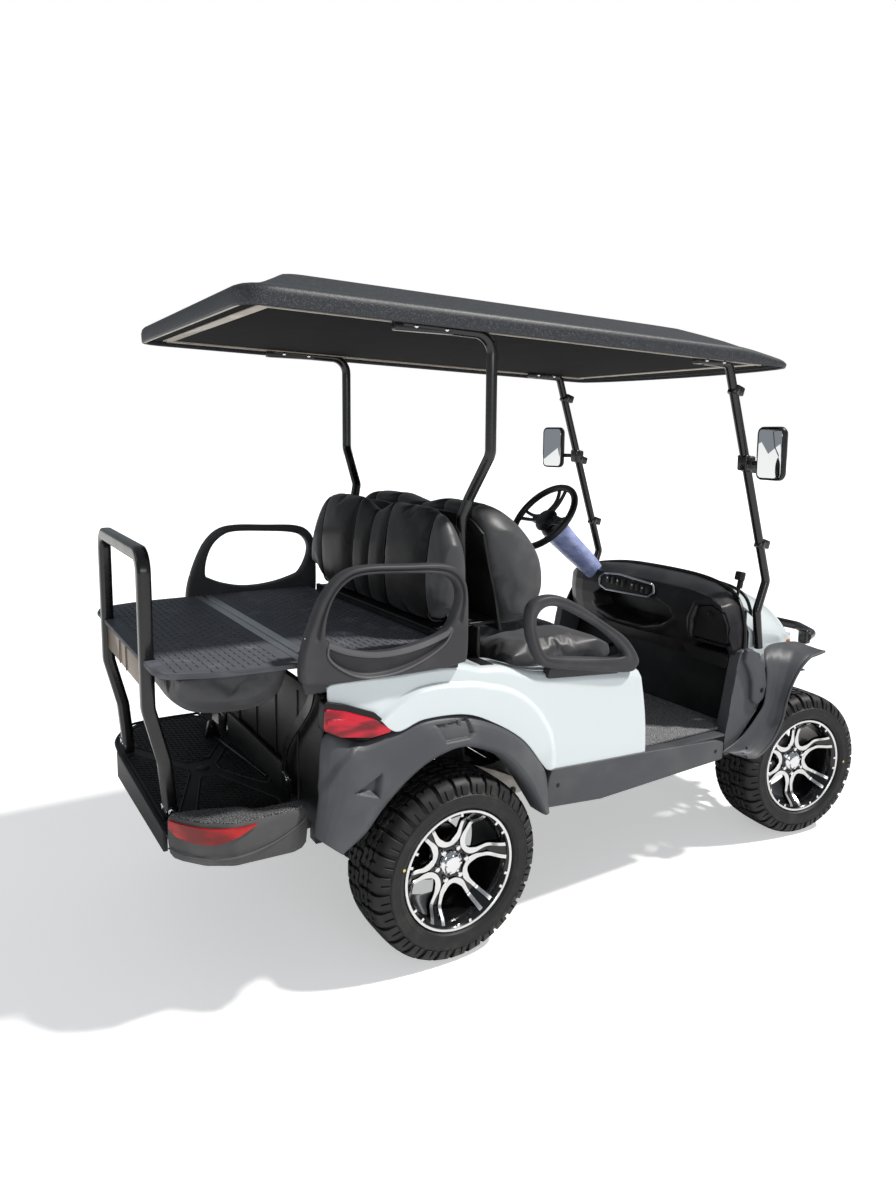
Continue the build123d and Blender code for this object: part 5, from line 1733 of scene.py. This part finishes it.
def footplate():
    """Treads, ribs and rim of the footplate, its rear lip, beams and riser."""
    lip = [(301, 436), (301, 524), (-385, 524), (-385, 462)]
    parts = [slab(rounded(FOOT_OUTLINE, 20), 506, 518, "xy", 3), slab(lip, -1393, -1380, "yz", 3),
             block((14, 568, 96), (-1012, 0, 560), 4)]
    for side in (1, -1):
        parts.append(block((384, 28, 50), (-1196, side * 270, 485), 3))
        parts.append(block((28, 28, 90), (-1015, side * 270, 470), 3))
    rim = [(x, y, 519) for x, y in FOOT_OUTLINE[1:8]]
    parts.append(strip(rim, round_section(5, 8), (0, 0, 1), 60))
    for zone in FOOT_ZONES:
        line = rounded(zone, 26, 6)
        flat = [(p.x, p.y, 518.6) for p in line]
        parts.append(strip(flat + flat[:1], round_section(3.4, 8), (0, 0, 1), 150))
        places = []
        for row in range(24):
            x = -1374 + row * 16
            for column in range(50):
                y = -500 + column * 22 + (row % 2) * 11
                if to_outline((x, y), line) < -11:
                    places.append(Matrix.Translation((x, y, 519)) @ Matrix.Rotation(0.5, 4, "Z"))
        parts.append(scatter(block((7, 15, 4)), places))
    parts.append(rod((-1178, 22, 517), (-1178, 22, 521), 22, 24, edge=2))
    return joined(parts)


def side_step():
    """The step box at the footplate's right: moulded walls, a carpeted top and a wrapped red reflector."""
    edge = rounded(STEP_OUTLINE, [6, 14, 30, 50, 60, 30, 8, 20, 30, 30, 20], 6)
    middle = Vector((-1200, -500))

    def ring(grow, z, tilt=0.0):
        loop = []
        for p in edge:
            away = p - middle
            pulled = middle + away * (1 + grow / away.length)
            loop.append((pulled.x, pulled.y, z + tilt * smooth(470, 562, -p.y)))
        return loop

    body = loft([ring(-34, 452), ring(-14, 456), ring(-4, 470), ring(0, 500, 10), ring(0, 560), ring(-3, 572),
                 ring(-8, 576), ring(-16, 574)])
    top = loft([ring(-9, 572), ring(-9, 578), ring(-12, 580.5), ring(-30, 581)])

    def reflector(u, v):
        out, high = [(3.5, 1), (3.5, 0), (-3, 0), (-3, 1)][round(v * 4) % 4]
        here = follow(REFLECTOR_PATH, u)
        way = follow(REFLECTOR_PATH, min(u + 0.01, 1)) - follow(REFLECTOR_PATH, max(u - 0.01, 0))
        normal = Vector((way.y, -way.x)).normalized()
        low = read([(0, 545), (0.12, 530), (0.35, 523), (0.6, 526), (0.8, 541), (1, 566)], u)
        return Vector((here.x + normal.x * out, here.y + normal.y * out, lerp(low, 568, high)))

    band = closed(surface(60, 4, reflector, merge=0.005))
    # a thin line in the lighter rim plastic along the step box's lower edge: a painted highlight
    trim = [(-1388, -414, 486), (-1352, -480, 482), (-1262, -561, 486), (-1150, -565, 500),
            (-1060, -562, 540), (-1040, -548, 560)]
    line = strip(trim, round_section(1.8, 6), (0, 0, 1), 50)
    return joined([(body, 0), (top, 1), (band, 2), (line, 3)])


def build_rear_steps():
    """Footplate, side step with its reflector, the grab bar and the straps."""
    piece("footplate_tread", footplate(), "foot", replaces=["footplate"])
    piece("side_step_box", side_step(), "step step_carpet red_reflector arm_rim",
          replaces=["rear_step"], angle=50)

    half = [(-1354, 305, 548), (-1366, 305, 690), (-1405, 305, 850), (-1405, 305, 1278)]
    line = half + [(x, -y, z) for x, y, z in reversed(half)]
    bar = [(tube(line, [90, 90, 52, 52, 90, 90], 19, 24, 8, 1.1, 4.0, (1, 0, 0)), 0),
           (block((8, 590, 74), (-1405, 0, 930), 2), 1), (block((3, 3, 74), (-1411, 60, 930), 0.8), 1),
           (block((3, 3, 74), (-1411, -40, 930), 0.8), 1)]
    for side in (1, -1):
        bar.append((block((30, 40, 46), (-1352, side * 305, 542), 5), 0))
        bar.append((bolt((-1356, side * 326, 545), (0, side, 0), 9, 6, 14), 2))
        bar.append((bolt((-1372, side * 305, 560), (-1, 0, 0), 9, 6, 14), 2))
    piece("grab_tubes", joined(bar), "tube bronze chrome", replaces=["grab_bar"], angle=40)

    def strap():
        line = [(-1016, 545, 915), (-1018, 524, 862), (-1020, 470, 806), (-1022, 404, 746), (-1022, 350, 690),
                (-1020, 322, 640), (-1018, 312, 590), (-1018, 326, 540)]
        way = strip(line, [(-16, -4), (-16, 0), (-13, 3), (13, 3), (16, 0), (16, -4)], (1, 0, 0), 60)
        foot = block((10, 74, 64), (-1022, 340, 560), 6)
        return joined([(way, 0), (foot, 0), (bolt((-1027, 352, 586), (-1, 0, 0), 9, 6, 14), 1)])

    piece("rear_straps", both_sides(strap), "tube chrome")
    prop = [rod((-1070, 306, 524), (-1024, -160, 524), 4.5, 10, edge=1),
            slab(rounded([(-1100, 516), (-1040, 516), (-1062, 578), (-1080, 578)], 6), 296, 316, "xz", 3),
            bolt((-1071, 294, 556), (0, -1, 0), 7, 5, 10)]
    piece("deck_prop", joined(prop), "tube")


# ---------------------------------------------------------------------------------------
# roof and its supports
# ---------------------------------------------------------------------------------------

ROOF_SLOPE = 48 / 2045


def roof_z(x):
    """Height of the roof's lower edge at x."""
    return 1925 - ROOF_SLOPE * (x + 1218)


def roof_plan(inset, nose, count=220):
    """The roof's plan outline drawn in by inset, and by nose at the front."""
    rear, half = -1218 + inset, 610 - inset
    points = [(rear, -half), (rear, half)]
    for step in range(13):
        turn = math.pi * step / 12
        points.append((827 - nose + (935 - 827) * math.sin(turn), half * math.cos(turn)))
    radius = max(80 - inset * 0.3, 30)
    radii = [radius, radius, 26] + [20] * 11 + [26]
    outline = rounded([Vector(p) for p in points], radii, 8)
    outline = outline[6:] + outline[:6]
    return resampled(outline, count)


def resampled(outline, count):
    """Evenly spaced points round a closed outline."""
    ring = outline + outline[:1]
    runs = [(b - a).length for a, b in zip(ring, ring[1:])]
    total, points, index, gone = sum(runs), [], 0, 0.0
    for step in range(count):
        target = total * step / count
        while gone + runs[index] < target:
            gone += runs[index]
            index += 1
        points.append(ring[index].lerp(ring[index + 1], (target - gone) / runs[index]))
    return points


def bracket_bolts(places, middle, half, lift):
    """Bolts on both faces of a post's bracket under the roof."""
    return [(bolt((x, middle + way * half, roof_z(x) + lift), (0, way, 0), 7, 4, 10), 1)
            for x in places for way in (1, -1)]


def build_roof():
    """Roof shell with its stepped crown, lining, channels, posts, clips and mirrors."""
    levels = [   # inset, nose inset, height over the lower edge
        (2, 2, -2), (0, 0, 4), (-1, -1, 30), (2, 2, 44), (9, 9, 52), (22, 24, 57), (44, 60, 62), (60, 84, 67),
        (64, 90, 64.5), (70, 100, 66), (90, 140, 76), (118, 210, 88), (150, 300, 104), (176, 390, 118),
        (205, 480, 125), (260, 600, 127.5), (380, 760, 129), (560, 900, 129.5),
    ]
    loops = []
    for inset, nose, height in levels:
        plan = roof_plan(inset, nose)
        loop = []
        for x, y in plan:
            droop = 34 * smooth(560, 935, x) * smooth(0, 50, height)
            loop.append((x, y, roof_z(x) + height - droop))
        loops.append(loop)
    shell = loft(loops, caps=False)
    bmesh.ops.holes_fill(shell,
                         edges=[e for e in shell.edges if e.is_boundary and e.verts[0].co.z > roof_z(0) + 90])
    bmesh.ops.recalc_face_normals(shell, faces=shell.faces)
    piece("roof_shell", shell, "roof", replaces=["roof"], angle=60, thickness=6)
    lining = loft([[(x, y, roof_z(x) + h) for x, y in roof_plan(i, n)] for i, n, h in
                   ((8, 8, 12), (30, 34, 18), (40, 48, 34), (300, 400, 40), (560, 900, 42))], caps=True)
    piece("roof_lining", lining, "roof_under", angle=40)
    rear_lip = strip([(-1206, -560, roof_z(-1206) + 3), (-1206, 560, roof_z(-1206) + 3)],
                     box_section(4, -3, 3, 1), (0, 0, 1), 2)
    channels = [(rear_lip, 0)]

    def channel(y, lift, section):
        line = [(x, y, roof_z(x) + lift) for x in (-1130, 790)]
        channels.append((strip(line, section, (0, 0, 1), 2), 0))

    for side in (1, -1):
        for off in (-13, 13):
            channel(side * 535 + off, 16, box_section(5, -8, 6, 1))
        channel(side * 535, 22, box_section(18, -4, 4, 1))
    for x in (-1130, 770):
        channels.append((block((34, 1070, 18), (x, 0, roof_z(x) + 18), 2), 0))
    piece("roof_channels", joined(channels), "rail", replaces=["roof_rails"])

    def dome(u, v):
        turn = u * math.tau
        reach = lerp(1, 0, v)
        return Vector((520 + 120 * reach * math.cos(turn), 330 * reach * math.sin(turn),
                       roof_z(520) + 30 - 14 * math.sin(v * math.pi) + 24 * v))

    piece("roof_dome", surface(60, 14, dome, merge=0.01), "roof_under", angle=60)

    strut = [(-740, 535, roof_z(-740) + 6), (-434, 535, roof_z(-434) + 4), (-434, 535, 1553),
             (-441, 424, 1410), (-458, 410, 1350), (-456, 410, 1016)]

    def rear_strut():
        bits = [(tube(strut, [60, 40, 30, 30], 17, 20, 8), 0),
                (block((190, 30, 34), (-670, 535, roof_z(-670) + 4), 5), 0)]
        bits += bracket_bolts((-700, -600), 535, 15, 2)
        bits.append((block((60, 50, 10), (-456, 410, 1018), 3), 0))
        return joined(bits)

    piece("rear_struts", both_sides(rear_strut), "tube chrome", replaces=["roof_struts"])
    post = [(500, 507, roof_z(500) + 6), (634, 507, roof_z(634) + 4), (677, 507, 1755), (801, 507, 1376),
            (908, 507, 1050), (862, 507, 930), (884, 507, 780)]

    def front_post():
        bits = [(tube(post, 30, 17, 20, 7), 0), (block((170, 34, 30), (545, 507, roof_z(545) + 8), 5), 0)]
        bits += bracket_bolts((500, 590), 507, 17, 6)
        for x, z in ((668, 1790), (762, 1500), (860, 1200)):
            bits.append((block((44, 26, 34), (x + 26, 507, z), 6, Matrix.Rotation(math.radians(18), 3, "Y")),
                         0))
            bits.append((rod((x - 6, 507, z - 14), (x + 6, 507, z + 14), 21, 18, edge=3), 0))
        bits.append((block((30, 46, 60), (744, 507, 1520), 8), 0))
        return joined(bits)

    piece("front_posts", both_sides(front_post), "tube chrome", replaces=["windshield_posts"])
    tilt = Matrix.Rotation(math.radians(14), 3, "Y")
    clip = [block((30, 34, 36), (850, -427, 1062), 6, tilt), block((18, 20, 34), (846, -432, 1030), 4, tilt),
            rod((842, -432, 1020), (836, -430, 984), 6, 12)]
    piece("screen_clip", joined(clip), "black")
    turn = Matrix.Translation((712, 650, 1558)) @ Matrix.Rotation(math.radians(7), 4, "Z")

    def mirror():
        def face(grow):
            return rounded([Vector((-66 + grow, -98 + grow)), Vector((66 - grow, -98 + grow)),
                            Vector((66 - grow, 98 - grow)), Vector((-66 + grow, 98 - grow))],
                           max(30 - grow, 6), 6)

        back = loft([[(x, p.x, p.y) for p in face(grow)] for x, grow in
                     ((4, 8), (-1, 5), (-2, 2), (2, 0), (14, 0), (24, 6), (31, 18), (34, 34))])
        glass = slab(face(8), -2.5, 0.5, "yz", 1)
        stalk = rod((16, -30, -38), (30, -110, -38), 9, 16)
        ball = turned([(0, -16), (12, -12), (17, 0), (12, 12), (0, 16)], 18)
        moved(ball, Matrix.Translation((20, -40, -38)))
        clamp = block((46, 42, 52), (32, -143, -38), 9)
        return moved(joined([(back, 0), (glass, 1), (stalk, 0), (ball, 0), (clamp, 0)]), turn)

    piece("side_mirrors", both_sides(mirror), "black mirror", replaces=["mirrors"])


# ---------------------------------------------------------------------------------------
# chassis
# ---------------------------------------------------------------------------------------

def build_chassis():
    """Finishes for the running gear that stays as built, with coils, straps, caps and bolts on it."""
    for node, finish in (("knuckle_left", "iron"), ("knuckle_right", "iron"), ("steering_rack", "iron"),
                         ("frame_rails", "iron"), ("battery_pack", "battery"), ("rear_axle", "iron"),
                         ("drive_motor", "motor"), ("rear_springs", "iron"), ("front_suspension", "iron")):
        paint_node(node, finish)
    details = []
    for side in (1, -1):
        coil = []
        for step in range(97):
            share = step / 96
            turn = share * math.tau * 6
            coil.append((1146 + 46 * math.cos(turn), side * (lerp(268, 261, share) + 45.08 * math.sin(turn)),
                         lerp(420, 600, share)))
        details.append((strip(coil, round_section(6, 8), (0, 0, 1), 200), 0))
        for x in (-930, -230):
            details.append((bolt((x, side * 384, 400), (0, side, 0), 11, 8, 17), 1))
        for x in (-640, -520):
            details.append((tube([(x, side * 338, 300), (x, side * 338, 404), (x, side * 378, 404),
                                  (x, side * 378, 300)], 12, 6, 10, 5, up=(1, 0, 0)), 1))
        gusset = slab(rounded([(-449, 542), (-327, 490), (-231, 443), (-206, 390), (-254, 387), (-310, 433),
                               (-388, 496)], 8), side * 420 - 3, side * 420 + 3, "xz", 1)
        details.append((gusset, 2))
        details.append((bolt((-250, side * 423, 402), (0, side, 0), 9, 6, 14), 0))
    for x in (-210, -135, -60, 15, 90):
        for y in (-180, 0, 180):
            details.append((rod((x, y, 676), (x, y, 684), 12, 20, edge=2), 0))
    for y in (266, -266):
        details.append((block((396, 12, 70), (-60, y, 540), 4), 0))
    for index in range(9):
        fin = turned([(92, -4), (97, -3), (97, 3), (92, 4)], 40)
        details.append((moved(fin, Matrix.Translation((-720, -235 + index * 26, WHEEL_Z))), 1))
    piece("chassis_fittings", joined(details), "iron motor frame")


# ---------------------------------------------------------------------------------------
# stage
# ---------------------------------------------------------------------------------------

CAMERA_PLACE = (-1.8733, -2.7162, 1.6081)
CAMERA_YAW = 57.4
CAMERA_PITCH = -6.92
CAMERA_ROLL = 0.72
FOCAL_PIXELS = 853.26
PICTURE_SIZE = (896, 1195)
PICTURE_CENTRE = (477.2, 539.7)
FLOOR_REACH = 60
FLOOR_LIFT = 0.46
SKY_LIGHT = 0.27


def build_stage(sizes):
    """Floor, sky light, sun, two soft panels and the camera."""
    white = Finish("floor_white", (0.90, 0.90, 0.90), 0.9)
    white.feed("Roughness", white.noise(2, 2) * 0.06 + 0.86)
    seen_direct = white.node("ShaderNodeLightPath", output="Is Camera Ray")
    white.feed("Emission Color", white.mix(seen_direct, (0, 0, 0), (1, 1, 1)))
    white.feed("Emission Strength", FLOOR_LIFT)
    floor_mesh = bpy.data.meshes.new("floor")
    bm = bmesh.new()
    bmesh.ops.create_grid(bm, x_segments=2, y_segments=2, size=FLOOR_REACH)
    bm.to_mesh(floor_mesh)
    bm.free()
    floor_mesh.materials.append(white.material)
    floor = bpy.data.objects.new("floor", floor_mesh)
    bpy.context.scene.collection.objects.link(floor)

    world = bpy.data.worlds.new("sky")
    bpy.context.scene.world = world
    world.use_nodes = True
    sky = Nodes(world.node_tree)
    sky.tree.nodes.clear()
    light = sky.node("ShaderNodeBackground", {}, {"Color": (0.86, 0.93, 1.0, 1), "Strength": SKY_LIGHT})
    seen = sky.node("ShaderNodeBackground", {}, {"Color": (1, 1, 1, 1), "Strength": 1.0})
    direct = sky.node("ShaderNodeLightPath", output="Is Camera Ray")
    mixed = sky.node("ShaderNodeMixShader", {}, {0: direct, 1: light, 2: seen})
    sky.node("ShaderNodeOutputWorld", {}, {"Surface": mixed})

    def lamp(name, kind, energy, place, aim, size=0.0, colour=(1, 1, 1)):
        data = bpy.data.lights.new(name, kind)
        data.energy = energy
        data.color = colour
        if kind == "SUN":
            data.angle = math.radians(size)
        else:
            data.shape = "RECTANGLE"
            data.size, data.size_y = size
        made = bpy.data.objects.new(name, data)
        made.location = place
        way = Vector(aim) - Vector(place)
        made.rotation_euler = way.to_track_quat("-Z", "Y").to_euler()
        bpy.context.scene.collection.objects.link(made)

    lamp("sun", "SUN", sizes.sun, (3.25, -1.75, 5.6), (0, 0, 0.6), 4.0, (1.0, 0.97, 0.93))
    lamp("panel_back", "AREA", 14, (-5.5, 1.5, 3.2), (0, 0, 0.9), (2.5, 1.5), (0.93, 0.96, 1.0))
    lamp("panel_side", "AREA", 45, (-1.5, -6.0, 2.4), (-0.2, 0, 0.8), (4.0, 0.7))

    yaw, pitch, roll = (math.radians(a) for a in (CAMERA_YAW, CAMERA_PITCH, CAMERA_ROLL))
    ahead = Vector((math.cos(pitch) * math.cos(yaw), math.cos(pitch) * math.sin(yaw), math.sin(pitch)))
    level = Vector((math.sin(yaw), -math.cos(yaw), 0))
    upright = level.cross(ahead)
    right = level * math.cos(roll) + upright * math.sin(roll)
    above = upright * math.cos(roll) - level * math.sin(roll)
    data = bpy.data.cameras.new("camera")
    data.sensor_width = 36
    long_side = max(PICTURE_SIZE)
    data.lens = FOCAL_PIXELS / long_side * data.sensor_width
    data.shift_x = (PICTURE_SIZE[0] / 2 - PICTURE_CENTRE[0]) / long_side
    data.shift_y = (PICTURE_CENTRE[1] - PICTURE_SIZE[1] / 2) / long_side
    made = bpy.data.objects.new("camera", data)
    made.location = CAMERA_PLACE
    made.rotation_euler = Matrix((right, above, -ahead)).transposed().to_euler()
    bpy.context.scene.collection.objects.link(made)
    bpy.context.scene.camera = made
    bpy.context.scene.view_settings.view_transform = "Standard"


# ---------------------------------------------------------------------------------------
# add-on
# ---------------------------------------------------------------------------------------

class CART_OT_finishes(bpy.types.Operator):
    """Make every finish the cart uses"""

    bl_idname = "cart.finishes"
    bl_label = "Finishes"

    def execute(self, context):
        make_finishes(context.scene.cart_colours)
        return {"FINISHED"}


class CART_OT_wheels(bpy.types.Operator):
    """Build the tyres and wheels"""

    bl_idname = "cart.wheels"
    bl_label = "Wheels"

    def execute(self, context):
        build_wheels(context.scene.cart_sizes)
        return {"FINISHED"}


class CART_OT_chassis(bpy.types.Operator):
    """Finish the running gear"""

    bl_idname = "cart.chassis"
    bl_label = "Chassis"

    def execute(self, context):
        build_chassis()
        return {"FINISHED"}


class CART_OT_lower_body(bpy.types.Operator):
    """Build the body sides, rear flares, rockers and lamps"""

    bl_idname = "cart.lower_body"
    bl_label = "Lower body"

    def execute(self, context):
        build_lower_body()
        return {"FINISHED"}


class CART_OT_front(bpy.types.Operator):
    """Build the nose, front flares, lamps and guard"""

    bl_idname = "cart.front"
    bl_label = "Front"

    def execute(self, context):
        build_front()
        return {"FINISHED"}


class CART_OT_dash(bpy.types.Operator):
    """Build the dashboard and the controls"""

    bl_idname = "cart.dash"
    bl_label = "Dashboard"

    def execute(self, context):
        build_dash()
        return {"FINISHED"}


class CART_OT_seats(bpy.types.Operator):
    """Build and inflate the seats"""

    bl_idname = "cart.seats"
    bl_label = "Seats"

    def execute(self, context):
        build_seats()
        return {"FINISHED"}


class CART_OT_armrests(bpy.types.Operator):
    """Build the armrests"""

    bl_idname = "cart.armrests"
    bl_label = "Armrests"

    def execute(self, context):
        build_armrests()
        return {"FINISHED"}


class CART_OT_deck(bpy.types.Operator):
    """Build the folding rear deck"""

    bl_idname = "cart.deck"
    bl_label = "Rear deck"

    def execute(self, context):
        build_deck()
        return {"FINISHED"}


class CART_OT_rear_steps(bpy.types.Operator):
    """Build the footplate, side step and grab bar"""

    bl_idname = "cart.rear_steps"
    bl_label = "Footplate and grab bar"

    def execute(self, context):
        build_rear_steps()
        return {"FINISHED"}


class CART_OT_roof(bpy.types.Operator):
    """Build the roof, its posts and the mirrors"""

    bl_idname = "cart.roof"
    bl_label = "Roof"

    def execute(self, context):
        build_roof()
        return {"FINISHED"}


class CART_OT_stage(bpy.types.Operator):
    """Build the floor, lights and camera"""

    bl_idname = "cart.stage"
    bl_label = "Stage"

    def execute(self, context):
        build_stage(context.scene.cart_sizes)
        return {"FINISHED"}


STEPS = (CART_OT_finishes, CART_OT_wheels, CART_OT_chassis, CART_OT_lower_body, CART_OT_front, CART_OT_dash,
         CART_OT_armrests, CART_OT_deck, CART_OT_rear_steps, CART_OT_roof, CART_OT_seats, CART_OT_stage)


class CART_PT_panel(bpy.types.Panel):
    """Sidebar list of the building steps"""

    bl_label = "Golf Cart"
    bl_space_type = "VIEW_3D"
    bl_region_type = "UI"
    bl_category = "Golf Cart"

    def draw(self, context):
        for group in (context.scene.cart_colours, context.scene.cart_sizes):
            for name in group.__annotations__:
                self.layout.prop(group, name)
        for step in STEPS:
            self.layout.operator(step.bl_idname)


CLASSES = (CartColours, CartSizes, *STEPS, CART_PT_panel)


def register():
    for cls in CLASSES:
        bpy.utils.register_class(cls)
    bpy.types.Scene.cart_colours = PointerProperty(type=CartColours)
    bpy.types.Scene.cart_sizes = PointerProperty(type=CartSizes)


def unregister():
    del bpy.types.Scene.cart_sizes
    del bpy.types.Scene.cart_colours
    for cls in reversed(CLASSES):
        bpy.utils.unregister_class(cls)


def main():
    """Register the add-on and run its steps in order."""
    register()
    for step in STEPS:
        group, name = step.bl_idname.split(".")
        getattr(getattr(bpy.ops, group), name)()


if __name__ == "__main__":
    main()
